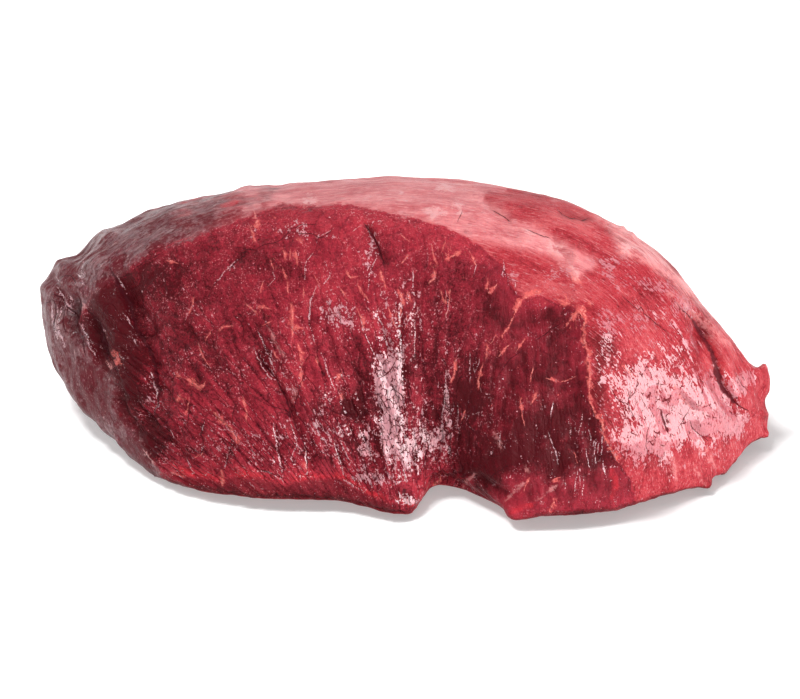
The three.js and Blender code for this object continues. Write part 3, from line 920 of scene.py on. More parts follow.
def grain_height(skin, fan, fibre, sheet, zones):
    """The grain of the meat as relief, and the wrinkles of the cut face alone, in mm."""
    low = smoothstep(skin.pixels[:, 1], 280, 380)
    coarse = noise(stretched(fan, 4.6, 24), 21)
    fine = noise(stretched(fan, 2.6, 15), 22)
    wrinkles = -1.0 * (1 - np.abs(coarse)) ** 4 - 0.4 * (1 - np.abs(fine)) ** 3
    wrinkles *= zones.cut * (0.3 + 0.7 * low) * (1 - 0.6 * smoothstep(skin.pixels[:, 0], 440, 500))
    fibres = 0.28 * noise(stretched(fibre, 3.4, 30), 23) + 0.2 * noise(stretched(fibre, 2.0, 14), 24)
    sheets = 0.35 * noise(stretched(sheet, 3.6, 26), 27) + 0.15 * noise(stretched(sheet, 1.9, 12), 28)
    sheeted = np.maximum(zones.silver, zones.film)
    outer = 1 - np.maximum(zones.cut, sheeted)
    lumps = 0.45 * skin.noise(11, 25) + 0.2 * skin.noise(4.5, 26)
    sheets *= zones.film + 1.7 * zones.silver
    return wrinkles + fibres * outer + sheets + (0.8 + 0.7 * zones.silver) * lumps, wrinkles


def crease_height(skin):
    """The creases as relief in mm, and how deep each vertex lies in one, from 0 to 1."""
    height = np.zeros(len(skin.points))
    sunk = np.zeros(len(skin.points))
    for crease in CREASES:
        line = Nearness(crease.places, skin.bent, 8 * crease.width / skin.scale)
        distance = line.distance * skin.scale
        fade = line.taper() * skin.front
        groove = bell(distance, crease.width) * fade
        shoulder = bell(distance, 3 * crease.width) * fade
        height -= crease.depth * groove
        height += (crease.step * line.side + 0.25 * crease.depth) * shoulder * (1 - groove)
        sunk = np.maximum(sunk, groove * min(1, crease.depth / 2))
    return height, sunk


def line_field(skin, lines):
    """For each vertex the signed distance from the nearest line, over that line's half width,
    and a mask that is 1 near the line and 0 away from it and past its ends."""
    best = np.full(len(skin.points), FAR)
    signed = np.full(len(skin.points), FAR)
    mask = np.zeros(len(skin.points))
    for width, *places in lines:
        line = Nearness(places, skin.bent, (width * 2 + 3) / skin.scale)
        distance = line.distance * skin.scale
        past = line.past * skin.scale
        lateral = np.sqrt(np.maximum(np.where(past > 0, distance, 0) ** 2 - past**2, 0))
        away = np.where(past > 0, lateral, distance)
        thin = 0.55 + 0.45 * np.sqrt(np.clip(4 * line.share * (1 - line.share), 0, 1))
        over = distance / (width * thin)
        closer = over < best
        best = np.where(closer, over, best)
        signed = np.where(closer, line.side * away / (width * thin), signed)
        near = (1 - smoothstep(away, width + 1.0, width + 2.2)) * (1 - smoothstep(past, 0.1, 1.0))
        mask = np.where(closer, near, mask)
    signed = np.clip(signed, -FAR, FAR)
    return np.stack([signed, mask * skin.front, np.zeros_like(mask)], 1)


class Field:
    """A socket of a node tree, so that shader arithmetic reads as Python."""

    def __init__(self, paint, socket):
        self.paint = paint
        self.socket = socket

    def _math(self, operation, *values):
        return self.paint.node("ShaderNodeMath", {"operation": operation}, dict(enumerate(values)))

    def __add__(self, other):
        return self._math("ADD", self, other)

    def __radd__(self, other):
        return self._math("ADD", other, self)

    def __sub__(self, other):
        return self._math("SUBTRACT", self, other)

    def __rsub__(self, other):
        return self._math("SUBTRACT", other, self)

    def __mul__(self, other):
        return self._math("MULTIPLY", self, other)

    def __rmul__(self, other):
        return self._math("MULTIPLY", other, self)

    def __abs__(self):
        return self._math("ABSOLUTE", self)

    def at_most(self, other):
        return self._math("MINIMUM", self, other)

    def at_least(self, other):
        return self._math("MAXIMUM", self, other)

    def rising(self, low, high):
        """0 below low, 1 above high, and smooth between."""
        return self._ranged("SMOOTHSTEP", low, high)

    def falling(self, low, high):
        """1 below low, 0 above high, and smooth between."""
        return 1 - self.rising(low, high)

    def even(self, low, high):
        """0 below low, 1 above high, and a straight line between."""
        return self._ranged("LINEAR", low, high)

    def _ranged(self, kind, low, high):
        limits = {"Value": self, "From Min": low, "From Max": high}
        return self.paint.node("ShaderNodeMapRange", {"interpolation_type": kind}, limits)


class Paint:
    """A new material and its node tree."""

    def __init__(self, name):
        self.material = bpy.data.materials.new(name)
        self.material.use_nodes = True
        self.tree = self.material.node_tree
        self.tree.nodes.clear()

    def node(self, kind, settings=None, inputs=None, output=0):
        made = self.tree.nodes.new(kind)
        for key, value in (settings or {}).items():
            setattr(made, key, value)
        for key, value in (inputs or {}).items():
            socket = made.inputs[key]
            if isinstance(value, Field):
                self.tree.links.new(value.socket, socket)
            else:
                socket.default_value = value
        return Field(self, made.outputs[output])

    def finish(self, surface):
        """Joins the shader to the material's output."""
        out = self.tree.nodes.new("ShaderNodeOutputMaterial")
        self.tree.links.new(surface.socket, out.inputs["Surface"])
        return self.material

    def attribute(self, name, output="Fac"):
        return self.node("ShaderNodeAttribute", {"attribute_name": name}, output=output)

    def line(self, name):
        """The signed distance from the lines of a kind, over their half width, and their mask."""
        both = {"Vector": self.attribute(name, "Vector")}
        return (
            self.node("ShaderNodeSeparateXYZ", None, both, output=0),
            self.node("ShaderNodeSeparateXYZ", None, both, output=1),
        )

    def stretch(self, vector, across, along):
        """The vector in cells of the given size, long along the grain."""
        inputs = {0: vector, 1: (1 / across, 1 / along, 1 / across)}
        return self.node("ShaderNodeVectorMath", {"operation": "MULTIPLY"}, inputs)

    def noise(self, vector, scale=1.0, detail=2.0, roughness=0.5, distortion=0.0, output="Fac"):
        inputs = {
            "Vector": vector,
            "Scale": scale,
            "Detail": detail,
            "Roughness": roughness,
            "Distortion": distortion,
        }
        return self.node("ShaderNodeTexNoise", None, inputs, output)

    def cells(self, vector, feature, scale=1.0, output="Distance"):
        inputs = {"Vector": vector, "Scale": scale}
        return self.node("ShaderNodeTexVoronoi", {"feature": feature}, inputs, output)

    def jolt(self, vector, shift, amount):
        """The vector moved by the amount times a noise colour."""
        off = self.node("ShaderNodeVectorMath", {"operation": "SUBTRACT"}, {0: shift, 1: (0.5, 0.5, 0.5)})
        size = self.node("ShaderNodeVectorMath", {"operation": "MULTIPLY"}, {0: off, 1: (amount,) * 3})
        return self.node("ShaderNodeVectorMath", {"operation": "ADD"}, {0: vector, 1: size})

    def choose(self, share, first, second):
        """The first vector where the share is under a half, and the second where it is over."""
        over = self.node("ShaderNodeMath", {"operation": "GREATER_THAN"}, {0: share, 1: 0.5})
        return self.node("ShaderNodeMix", {"data_type": "VECTOR"}, {0: over, 4: first, 5: second}, output=1)

    def mix(self, share, first, second):
        inputs = {0: share, 6: first, 7: second}
        return self.node("ShaderNodeMix", {"data_type": "RGBA"}, inputs, output=2)

    def darken(self, share, first, tint):
        """The first colour, multiplied by the tint where the share is 1."""
        inputs = {0: share, 6: first, 7: tint}
        settings = {"data_type": "RGBA", "blend_type": "MULTIPLY"}
        return self.node("ShaderNodeMix", settings, inputs, output=2)

    def ramp(self, tone, dark, middle, light):
        """Dark at a tone of 0, middle at a half, light at 1."""
        return self.mix(tone.even(0.5, 1), self.mix(tone.even(0, 0.5), dark, middle), light)


def colour(hexadecimal):
    """A linear colour, with alpha, from the sRGB one written as six hexadecimal digits."""
    parts = [int(hexadecimal[i : i + 2], 16) / 255 for i in (0, 2, 4)]
    linear = [c / 12.92 if c <= 0.04045 else ((c + 0.055) / 1.055) ** 2.4 for c in parts]
    return (*linear, 1.0)


class RumpSizes(bpy.types.PropertyGroup):
    crease: FloatProperty(
        name="Crease depth", description="Depth of the creases, as a share of the real ones", default=1.0
    )
    grain: FloatProperty(
        name="Grain", description="Height of the grain, as a share of the real one", default=1.0
    )


def shade(name, description, hexadecimal):
    return FloatVectorProperty(
        name=name, description=description, subtype="COLOR", size=4, default=colour(hexadecimal)
    )


class MeatColours(bpy.types.PropertyGroup):
    cut_dark: shade("Cut, dark", "Dark patches of the cut face", "4a0a12")
    cut: shade("Cut", "The cut face", "86202d")
    cut_light: shade("Cut, light", "Bright patches of the cut face", "a8303c")
    fresh: shade("Fresh", "Fresh red meat at the lip and in the deep fold", "bc2832")
    # painted shade: the colour at the bottom of cracks, seams and fissures
    deep: shade("Deep", "The bottom of cracks and grooves", "400a14")
    # painted shade: the colour is multiplied by this in creases and where the surface faces down
    shadow: shade("Shade", "What the colour is multiplied by in creases", "94545c")
    muscle_dark: shade("Muscle, dark", "Dark strands of the outer muscle", "640e16")
    muscle: shade("Muscle", "The outer muscle", "9c2c35")
    muscle_light: shade("Muscle, light", "Pale strands of the outer muscle", "b45054")
    film: shade("Membrane", "The pale membrane", "d2898a")
    film_dark: shade("Membrane, dark", "Thin places of the membrane", "b4585e")
    silver: shade("Silverskin", "The greyish silverskin", "8c6e70")
    silver_mid: shade("Silverskin, thin", "The silverskin where it is thinner", "6e343c")
    silver_dark: shade("Silverskin, dark", "Meat that shows through the silverskin", "580f18")
    fat: shade("Fat", "Marbling and the rims of fat", "cc5c58")
    marrow: shade("Fat, thick", "The middle of thicker fat", "dc8e84")
    rind: shade("Rind", "The fat along the top edge", "cc9494")
    # also the colour of the painted sparkle on the cut face
    pale: shade("Pale tissue", "Streaks of pale tissue", "d08484")
    # painted highlight: the moist patches are mostly this pale colour under a clear coat
    wet_and_painted_sheen: shade("Wet film", "The thin pale film of the wet patches", "bc737c")
    # painted highlight: the glints along the edges of the wrinkles
    shine: shade("Shine", "Wet edges of the wrinkles", "d4a4aa")


class StudioSettings(bpy.types.PropertyGroup):
    target: FloatVectorProperty(
        name="Target",
        description="The point that the camera looks at",
        subtype="TRANSLATION",
        unit="LENGTH",
        default=(-0.0004, -0.0137, 0.0362),
    )
    elevation: FloatProperty(
        name="Elevation", description="Height of the camera", subtype="ANGLE", default=math.radians(30)
    )
    distance: FloatProperty(
        name="Distance", description="From the target to the camera", unit="LENGTH", default=0.674
    )
    lens: FloatProperty(name="Lens", description="Focal length", unit="CAMERA", default=85.0)
    sensor: FloatProperty(name="Sensor", description="Width of the sensor", unit="CAMERA", default=36.0)
    key: FloatProperty(name="Key", description="Power of the key light", unit="POWER", default=8.8)
    front_key: FloatProperty(
        name="Front key", description="Power of the light beside the camera", unit="POWER", default=5.3
    )


def deselect_all():
    bpy.ops.object.select_all(action="DESELECT")


def activate(piece):
    deselect_all()
    piece.select_set(True)
    bpy.context.view_layer.objects.active = piece


def copy_of_node(name):
    """A copy of the CAD solid with its loose triangles merged into quads."""
    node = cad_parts[NODE]
    mesh = node.data.copy()
    mesh.name = name
    piece = bpy.data.objects.new(name, mesh)
    bpy.context.scene.collection.objects.link(piece)
    mesh.materials.clear()
    activate(piece)
    bpy.ops.object.mode_set(mode="EDIT")
    bpy.ops.mesh.select_all(action="SELECT")
    bpy.ops.mesh.remove_doubles(threshold=MERGE_WITHIN)
    bpy.ops.mesh.tris_convert_to_quads(face_threshold=math.pi, shape_threshold=math.pi)
    bpy.ops.object.mode_set(mode="OBJECT")
    return piece


def subdivide(piece, levels):
    """Makes the mesh finer and smooth."""
    activate(piece)
    finer = piece.modifiers.new("Finer", "SUBSURF")
    finer.levels = levels
    finer.render_levels = levels
    bpy.ops.object.modifier_apply(modifier=finer.name)


def stored_zones(paint):
    """The zones that the mesh stores."""
    names = "cut silver film edge lip hem under tone gloss sunk creased furrow rough".split()
    zone = SimpleNamespace(**{name: paint.attribute(name) for name in names})
    zone.sheeted = zone.silver.at_least(zone.film)
    return zone


def grain_patterns(paint, zone):
    """The patterns that all parts of the meat are drawn with."""
    place = paint.node("ShaderNodeTexCoord", output="Object")
    sheet = paint.attribute("sheet", "Vector")
    outer = paint.choose(zone.sheeted, paint.attribute("fibre", "Vector"), sheet)
    along = paint.choose(zone.cut, outer, paint.attribute("fan", "Vector"))
    grain = SimpleNamespace()
    # without a direction, by the size of their cells: 9, 3, 2.4, 1.2 and 0.5 mm
    grain.mottle = paint.noise(place, 110, 2, 0.55)
    grain.blotch = paint.noise(place, 330, 2, 0.5)
    grain.worn = paint.noise(place, 420, 2, 0.6)
    grain.jitter = paint.noise(place, 820, 2, 0.6)
    grain.speck = paint.noise(place, 1900, 1, 0.5)
    # along the grain
    grain.strand = paint.noise(paint.stretch(along, 1.2, 10), 1, 3, 0.6, 0.6)
    grain.wide = paint.noise(paint.stretch(along, 5.0, 26), 1, 2, 0.5, 0.5)
    grain.flake = paint.noise(paint.stretch(along, 1.9, 3.2), 1, 2, 0.65, 0.6)
    grain.fibril = paint.noise(paint.stretch(along, 0.5, 4.5), 1, 2, 0.6, 0.4)
    shift = paint.noise(place, 300, 1, 0.5, 0.0, "Color")
    plates = paint.jolt(paint.stretch(along, 4.2, 10.0), shift, 0.45)
    grain.plates = paint.cells(plates, "DISTANCE_TO_EDGE")
    grain.dash = paint.cells(paint.jolt(paint.stretch(along, 2.6, 5.0), shift, 1.4), "F1")
    # tiles that the moist patches and their painted sheen break up into, larger on the outer muscle
    tiles = {0: paint.jolt(paint.stretch(along, 1.4, 2.2), shift, 0.9), "Scale": 0.5 + 0.5 * zone.cut}
    tiles = paint.node("ShaderNodeVectorMath", {"operation": "SCALE"}, tiles)
    tile = {"Vector": paint.cells(tiles, "F1", output="Color")}
    grain.tile = paint.node("ShaderNodeSeparateXYZ", None, tile)
    grain.gap = paint.cells(tiles, "DISTANCE_TO_EDGE")
    # the finest grain of the colours
    grain.fine = (grain.speck - 0.5) * 0.6 + (grain.jitter - 0.5) * 0.6
    return grain


def fray_borders(zone, grain):
    """Makes the border of the cut face ragged, and finds where the grain turns from one
    direction to another, which stays flat."""
    zone.turning = abs(zone.cut - 0.5).at_most(abs(zone.sheeted - 0.5)).even(0.15, 0.45)
    zone.cut = (zone.cut + (grain.strand - 0.5) * 1.1 + (grain.jitter - 0.5) * 0.5).rising(0.34, 0.66)


def drawn_lines(paint, grain):
    """The cracks, painted glints along edges, fat and streaks along the lines drawn on the skin, uneven in
    width.
    """
    sideways = (grain.worn - 0.5) * 1.4
    uneven = (grain.jitter - 0.5) * 3.0
    frayed = uneven + (grain.speck - 0.5) * 2.5
    drawn = SimpleNamespace()
    over, near = paint.line("crack")
    drawn.crack = (abs(over + sideways) + uneven * 0.5).falling(0.5, 1.5) * near
    drawn.groove = abs(over).falling(0.2, 1.9) * near
    over, near = paint.line("glint")
    beads = (grain.jitter + grain.speck).rising(0.93, 1.03)
    glint = (abs(over + sideways) + frayed + (grain.flake - 0.5) * 2.0).falling(0.7, 1.3)
    drawn.glint = glint * near * beads
    over, near = paint.line("fleck")
    knots = 1.7 - 1.2 * grain.blotch.rising(0.40, 0.62)
    fleck = (abs(over + sideways) * knots + frayed).falling(0.3, 1.4)
    drawn.fleck = fleck * near * grain.worn.rising(0.30, 0.42)
    drawn.marrow = (abs(over + sideways) + frayed).falling(-0.5, 0.3) * near
    over, near = paint.line("streak")
    streak = (abs(over + sideways) + frayed).falling(0.0, 1.4)
    drawn.streak = streak * near * grain.worn.rising(0.36, 0.56)
    over, near = paint.line("fresh")
    drawn.fresh = (abs(over + sideways * 0.5) + uneven * 0.3).falling(0.3, 1.4) * near
    return drawn


def add_marbling(drawn, zone, grain):
    """Short dashes of fat, and fine pale specks of painted sparkle on the cut face."""
    chance = (grain.wide - 0.5) * 0.8 + (grain.mottle - 0.5) * 1.2
    dashes = (grain.dash + (grain.jitter - 0.5) * 0.25).falling(0.03, 0.11)
    marbling = dashes * chance.rising(-0.06, 0.10) * (0.1 + 0.9 * zone.cut)
    drawn.fat = drawn.fleck.at_least(marbling * (1 - zone.sheeted))
    # painted sparkle: fine pale specks where light would glint
    drawn.dots = grain.speck.rising(0.62, 0.72) * (grain.mottle + grain.worn).rising(0.85, 1.15) * zone.rough


def add_wet_and_painted_sheen(drawn, zone, grain):
    """Wet patches with crisp edges, a clear coat over a painted pale sheen, the fissures that part them, and
    beads of painted light.
    """
    cut = zone.cut
    wet_and_painted_sheen = zone.gloss * (1.0 + 0.36 * cut) + (0.5 - grain.tile) * (0.35 + 0.1 * cut)
    wet_and_painted_sheen = wet_and_painted_sheen + (grain.flake - 0.5) * 1.2
    wet_and_painted_sheen = wet_and_painted_sheen + (grain.jitter - 0.5) * (1.1 + 0.7 * cut) + (grain.speck - 0.5) * (0.4 + 0.5 * cut)
    wet_and_painted_sheen = wet_and_painted_sheen + (grain.mottle - 0.5) * 0.4 + (grain.fibril - 0.5) * (1.2 - 0.2 * cut) - 0.11 * cut
    fissure = (grain.gap + (grain.jitter - 0.5) * 0.10).falling(0.02, 0.06 + 0.03 * cut)
    drawn.fissure = fissure * (grain.worn + 0.11 * cut).rising(0.53, 0.60)
    hatching = grain.fibril.falling(0.38, 0.45) * grain.worn.rising(0.42, 0.50)
    dry = drawn.crack.at_least(drawn.fissure).at_least(hatching * 0.8)
    drawn.wet_and_painted_sheen = wet_and_painted_sheen.rising(0.50, 0.58) * (1 - dry)
    # seams between the plates of the cut face, with beads of painted light beside them
    seam = (grain.plates + (grain.jitter - 0.5) * 0.05).falling(0.014, 0.045)
    drawn.seam = seam * grain.worn.rising(0.40, 0.50) * zone.creased
    beside = grain.plates.rising(0.035, 0.055) * grain.plates.falling(0.08, 0.14) * zone.creased
    beads = beside * (grain.jitter + grain.speck).rising(1.08, 1.18) * grain.mottle.rising(0.46, 0.58)
    drawn.shine = drawn.glint.at_least(beads * 0.6)


def cut_colour(paint, colours, zone, grain):
    tone = 0.42 + zone.tone + (grain.mottle - 0.5) * 0.85 + (grain.blotch - 0.5) * 0.65
    tone = tone + grain.fine * zone.rough * 1.4 + (grain.strand - 0.5) * 0.3
    # painted shade: darker in the furrows of the wrinkles, lighter on their ridges
    zone.cut_tone = tone + zone.furrow * 0.35 + 0.08
    return paint.ramp(zone.cut_tone, colours.cut_dark, colours.cut, colours.cut_light)


def muscle_colour(paint, colours, zone, grain):
    tone = 0.5 + zone.tone + (grain.strand - 0.5) * 0.6 + (grain.fibril - 0.5) * 0.7
    tone = tone + (grain.wide - 0.5) * 0.7 + (grain.mottle - 0.5) * 0.9 + grain.fine
    return paint.ramp(tone, colours.muscle_dark, colours.muscle, colours.muscle_light)


def film_colour(paint, colours, grain):
    tone = 0.52 + (grain.strand - 0.5) * 0.8 + (grain.fibril - 0.5) + (grain.wide - 0.5) * 1.2
    tone = tone + (grain.blotch - 0.5) * 0.9 + (grain.mottle - 0.5) + grain.fine * 0.5
    return paint.mix(tone.even(0, 1), colours.film_dark, colours.film)


def silver_colour(paint, colours, zone, grain):
    tone = 0.42 + zone.tone + (grain.strand - 0.5) * 0.9 + (grain.fibril - 0.5) * 1.2
    tone = tone + (grain.wide - 0.5) * 1.4 + (grain.mottle - 0.5) * 0.8 + grain.fine * 1.4
    veil = (grain.strand - 0.5) * 0.5 + (grain.flake - 0.5) * 0.7 + (grain.mottle - 0.5) * 1.1
    veil = veil + (grain.blotch - 0.5) * 0.6 + (grain.jitter - 0.5) * 0.5 + zone.tone * 0.3
    skin = paint.mix(tone.even(0, 1), colours.silver_mid, colours.silver)
    return paint.mix(0.25 + 0.75 * veil.rising(-0.14, 0.08), colours.silver_dark, skin)


def skins(paint, colours, zone, grain):
    """The outer muscle with the membrane and the silverskin over it."""
    cover = (zone.film * 1.5).at_most(1) * (0.55 + 0.45 * grain.wide)
    muscle = muscle_colour(paint, colours, zone, grain)
    base = paint.mix(cover, muscle, film_colour(paint, colours, grain))
    base = paint.mix(zone.silver, base, silver_colour(paint, colours, zone, grain))
    hairs = grain.fibril.rising(0.58, 0.66) * zone.film * 0.5
    base = paint.mix(hairs.at_least(grain.fibril.rising(0.60, 0.68) * 0.3), base, colours.rind)
    base = paint.mix(grain.fibril.falling(0.32, 0.41) * 0.25, base, colours.muscle_dark)
    # painted shade at the bottom of the silverskin's wrinkles
    wrinkle = abs(grain.strand - 0.5).falling(0.0, 0.035) * grain.mottle.rising(0.42, 0.56)
    zone.wrinkle = wrinkle * zone.silver
    return paint.mix(zone.wrinkle * 0.5, base, colours.silver_dark)


def meat_colour(paint, colours, zone, grain, drawn):
    """The skins, then the cut face, its borders, the fat, and the painted sheen and glints over each other,
    with painted shade in creases, cracks and undersides.
    """
    base = skins(paint, colours, zone, grain)
    base = paint.mix(zone.cut, base, cut_colour(paint, colours, zone, grain))
    # painted shade on the band turned under the lip
    base = paint.mix(zone.hem * 0.6, base, colours.silver_dark)
    torn = 0.15 + (grain.mottle + grain.jitter * 0.4).rising(0.62, 0.80) * 0.7
    base = paint.mix(zone.lip * torn, base, colours.fresh)
    worn_fat = (grain.strand + grain.fibril + grain.mottle).rising(1.32, 1.68)
    base = paint.mix(zone.edge * (0.25 + 0.6 * worn_fat), base, colours.rind)
    # painted shade where the surface faces down
    base = paint.darken(zone.under * 0.5, base, colours.shadow)
    base = paint.mix(drawn.fresh * (0.25 + 0.3 * grain.blotch.rising(0.35, 0.6)), base, colours.fresh)
    base = paint.mix(drawn.streak * 0.55, base, colours.pale)
    # painted shade in the creases
    base = paint.darken(zone.sunk * 0.6, base, colours.shadow)
    # painted sparkle: pale specks where light would glint, fewer on darker meat
    dots = drawn.dots * (0.1 + 0.25 * zone.cut) * zone.cut_tone.even(0.0, 0.5)
    base = paint.mix(dots, base, colours.pale)
    # fat is paler where it lies on the skins
    on_skin = zone.sheeted.at_least(zone.edge)
    thick = 0.40 + 0.8 * (grain.blotch - 0.1).even(0, 1)
    base = paint.mix(drawn.fat * thick, base, paint.mix(on_skin, colours.fat, colours.rind))
    base = paint.mix(drawn.marrow * 0.6, base, paint.mix(on_skin, colours.marrow, colours.rind))
    # painted highlight: a pale sheen laid over the moist patches, with a clear coat on top
    painted_sheen_colour = paint.mix(zone.cut * 0.45, colours.wet_and_painted_sheen, colours.shine)
    base = paint.mix(drawn.wet_and_painted_sheen * (0.62 + 0.26 * zone.cut), base, painted_sheen_colour)
    # painted highlight: the glints of the edges and the beads of light beside the seams
    base = paint.mix(drawn.shine * 0.85, base, colours.shine)
    # painted shade in the cracks, the seams and the fissures of the moist patches
    gaps = drawn.fissure * zone.gloss.even(0.3, 0.7) * 0.7
    return paint.mix((drawn.crack * 0.8).at_least(drawn.seam * 0.6).at_least(gaps), base, colours.deep)


def fine_relief(zone, grain, drawn):
    """Relief finer than the mesh, in metres."""
    height = (grain.strand - 0.5) * 0.0004 + (grain.fibril - 0.5) * (1 - zone.cut) * 0.0001
    height = height - zone.wrinkle * 0.00025 - grain.plates.falling(0.0, 0.14) * zone.creased * 0.0004
    height = height - drawn.fissure * 0.0001 + drawn.shine * 0.0001
    height = height * zone.turning + grain.blotch * 0.0004 + grain.jitter * 0.00016
    height = height + grain.speck * 0.00009 + drawn.wet_and_painted_sheen * 0.00008
    return height + drawn.fleck * 0.0001 - drawn.groove * 0.00022


def meat_material(colours):
    paint = Paint("raw meat")
    zone = stored_zones(paint)
    grain = grain_patterns(paint, zone)
    fray_borders(zone, grain)
    drawn = drawn_lines(paint, grain)
    add_marbling(drawn, zone, grain)
    add_wet_and_painted_sheen(drawn, zone, grain)
    base = meat_colour(paint, colours, zone, grain, drawn)
    relief = {"Height": fine_relief(zone, grain, drawn), "Strength": 1.0, "Distance": 1.0}
    moist = (0.06 + 0.12 * zone.silver) * zone.sheeted * (1 - zone.cut)
    surface = paint.node(
        "ShaderNodeBsdfPrincipled",
        None,
        {
            "Base Color": base,
            "Roughness": 0.42 + (grain.speck - 0.5) * 0.2,
            "Specular IOR Level": 0.08,
            "Normal": paint.node("ShaderNodeBump", None, relief),
            "Coat Weight": drawn.wet_and_painted_sheen.at_least(drawn.shine).at_least(moist),
            "Coat Roughness": 0.12,
            "Coat IOR": 1.6,
            "Subsurface Weight": 0.15,
            "Subsurface Radius": (1.0, 0.25, 0.15),
            "Subsurface Scale": 0.002,
        },
    )
    return paint.finish(surface)


class RUMP_OT_meat(bpy.types.Operator):
    """Models the whole rump over its solid and paints it"""

    bl_idname = "rump.meat"
    bl_label = "Meat"

    def execute(self, context):
        scene = context.scene
        piece = copy_of_node("rump_meat")
        subdivide(piece, levels=2)
        skin = Skin(piece, Sight(scene.rump_studio))
        fan = fan_coordinates(skin)
        fibre = fibre_coordinates(skin)
        sheet = sheet_coordinates(skin)
        zones = Zones(skin)
        creases, sunk = crease_height(skin)
        sizes = scene.rump_sizes
        relief = sizes.crease * (creases + tag_height(skin))
        grain, wrinkles = grain_height(skin, fan, fibre, sheet, zones)
        skin.push(relief + sizes.grain * grain)
        for name, values in {
            "fan": fan,
            "fibre": fibre,
            "sheet": sheet,
            "cut": zones.cut,
            "silver": zones.silver,
            "film": zones.film,
            "edge": zones.edge,
            "lip": zones.lip,
            "hem": zones.hem,
            # painted shade: how much the surface faces down, which darkens its colour
            "under": smoothstep(-skin.normals[:, 2], 0.05, 0.5),
            "tone": zones.tone,
            "gloss": zones.gloss,
            "sunk": sunk,
            # painted shade: the depth of the wrinkles, which darkens their furrows
            "furrow": wrinkles,
            "creased": zones.creased,
            "rough": zones.rough,
            "crack": line_field(skin, CRACKS),
            "glint": line_field(skin, GLINTS),
            "fleck": line_field(skin, FLECKS),
            "streak": line_field(skin, STREAKS),
            "fresh": line_field(skin, FRESH),
        }.items():
            skin.store(name, values)
        activate(piece)
        bpy.ops.object.shade_smooth()
        piece.data.materials.append(meat_material(scene.rump_colours))
        bpy.data.collections[LIT].objects.link(piece)
        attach(piece, BODY)
        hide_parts(NODE)
        return {"FINISHED"}


def softbox(name, direction, distance, size, power):
    """An area light at a distance from the piece, turned to it."""
    azimuth, elevation = (math.radians(angle) for angle in direction)
    away = Vector(
        (
            math.sin(azimuth) * math.cos(elevation),
            -math.cos(azimuth) * math.cos(elevation),
            math.sin(elevation),
        )
    )
    light = bpy.data.lights.new(name, "AREA")
    light.shape = "RECTANGLE"
    light.size, light.size_y = size
    light.energy = power
    lamp = bpy.data.objects.new(name, light)
    lamp.location = away * distance + MIDDLE
    lamp.rotation_euler = away.to_track_quat("Z", "Y").to_euler()
    bpy.context.scene.collection.objects.link(lamp)
    return lamp


def stand_camera(studio):
    """The camera of the photograph."""
    sight = Sight(studio)
    camera = bpy.data.cameras.new("camera")
    camera.lens = studio.lens
    camera.sensor_width = studio.sensor
    camera.sensor_fit = "HORIZONTAL"
    camera.dof.use_dof = False
    stand = bpy.data.objects.new("camera", camera)
    stand.location = sight.eye
    stand.rotation_euler = Vector(sight.back).to_track_quat("Z", "Y").to_euler()
    bpy.context.scene.collection.objects.link(stand)
    bpy.context.scene.camera = stand


def lay_floor():
    """A plain pale floor that also gives off a little light."""
    deselect_all()
    bpy.ops.mesh.primitive_plane_add(size=FLOOR_SIZE, location=(0, 0, 0))
    floor = bpy.context.active_object
    floor.name = "floor"
    paint = Paint("pale floor")
    pale = {
        "Base Color": (0.72, 0.72, 0.72, 1),
        "Roughness": 0.9,
        "Specular IOR Level": 0.0,
        "Emission Color": (1, 1, 1, 1),
        "Emission Strength": 0.35,
    }
    floor.data.materials.append(paint.finish(paint.node("ShaderNodeBsdfPrincipled", None, pale)))
    return floor


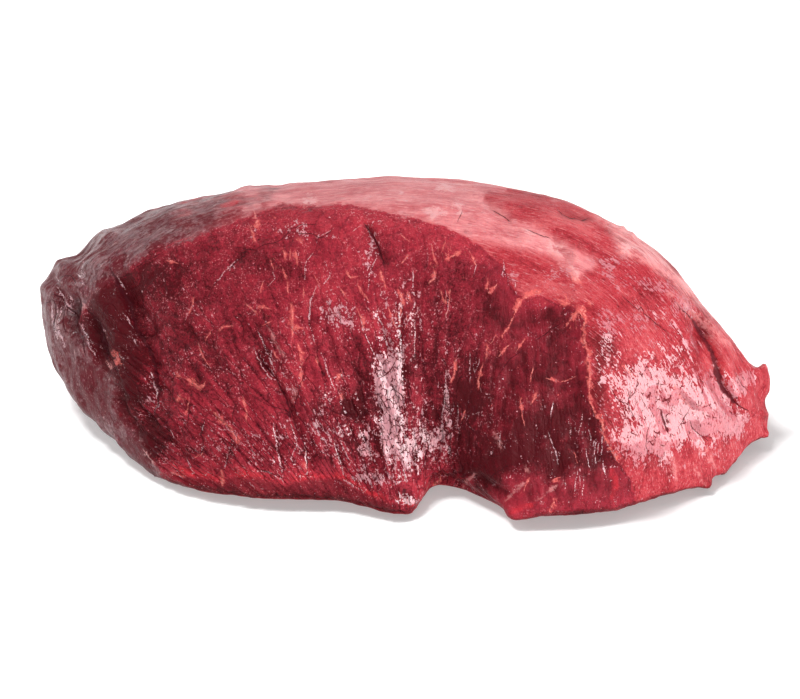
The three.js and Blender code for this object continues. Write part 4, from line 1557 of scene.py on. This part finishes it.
def hang_lamps(studio, floor):
    """Two keys for the meat alone, a lamp for the floor alone, and soft light for both."""
    lit = bpy.data.collections.new(LIT)
    for lamp in (
        softbox("key", (68, 18), 0.9, (0.85, 0.65), studio.key),
        softbox("front key", (22, 26), 0.9, (0.6, 0.4), studio.front_key),
    ):
        lamp.light_linking.receiver_collection = lit
    underlay = bpy.data.collections.new(UNDERLAY)
    underlay.objects.link(floor)
    over = softbox("floor light", (-100, 65), 1.2, (0.25, 0.25), 12.0)
    over.light_linking.receiver_collection = underlay
    for lamp in LAMPS:
        softbox(*lamp)


def fill_world():
    """Faint white light from all sides."""
    world = bpy.data.worlds.new("studio")
    world.use_nodes = True
    background = world.node_tree.nodes["Background"]
    background.inputs["Color"].default_value = (1, 1, 1, 1)
    background.inputs["Strength"].default_value = 0.2
    bpy.context.scene.world = world


class RUMP_OT_stage(bpy.types.Operator):
    """Sets up the pale floor, the soft studio light and the camera"""

    bl_idname = "rump.stage"
    bl_label = "Stage"

    def execute(self, context):
        studio = context.scene.rump_studio
        stand_camera(studio)
        hang_lamps(studio, lay_floor())
        fill_world()
        context.scene.view_settings.view_transform = "Standard"
        return {"FINISHED"}


class RUMP_PT_panel(bpy.types.Panel):
    bl_idname = "RUMP_PT_panel"
    bl_label = "Raw bison rump"
    bl_space_type = "VIEW_3D"
    bl_region_type = "UI"
    bl_category = "Rump"

    def draw(self, context):
        layout = self.layout
        for settings in (context.scene.rump_sizes, context.scene.rump_colours, context.scene.rump_studio):
            for name in settings.__annotations__:
                layout.prop(settings, name)
        layout.operator("rump.meat")
        layout.operator("rump.stage")


CLASSES = (RumpSizes, MeatColours, StudioSettings, RUMP_OT_meat, RUMP_OT_stage, RUMP_PT_panel)


def register():
    for item in CLASSES:
        bpy.utils.register_class(item)
    bpy.types.Scene.rump_sizes = PointerProperty(type=RumpSizes)
    bpy.types.Scene.rump_colours = PointerProperty(type=MeatColours)
    bpy.types.Scene.rump_studio = PointerProperty(type=StudioSettings)


def unregister():
    del bpy.types.Scene.rump_studio
    del bpy.types.Scene.rump_colours
    del bpy.types.Scene.rump_sizes
    for item in reversed(CLASSES):
        bpy.utils.unregister_class(item)


def main():
    register()
    bpy.ops.rump.stage()
    bpy.ops.rump.meat()


if __name__ == "__main__":
    main()
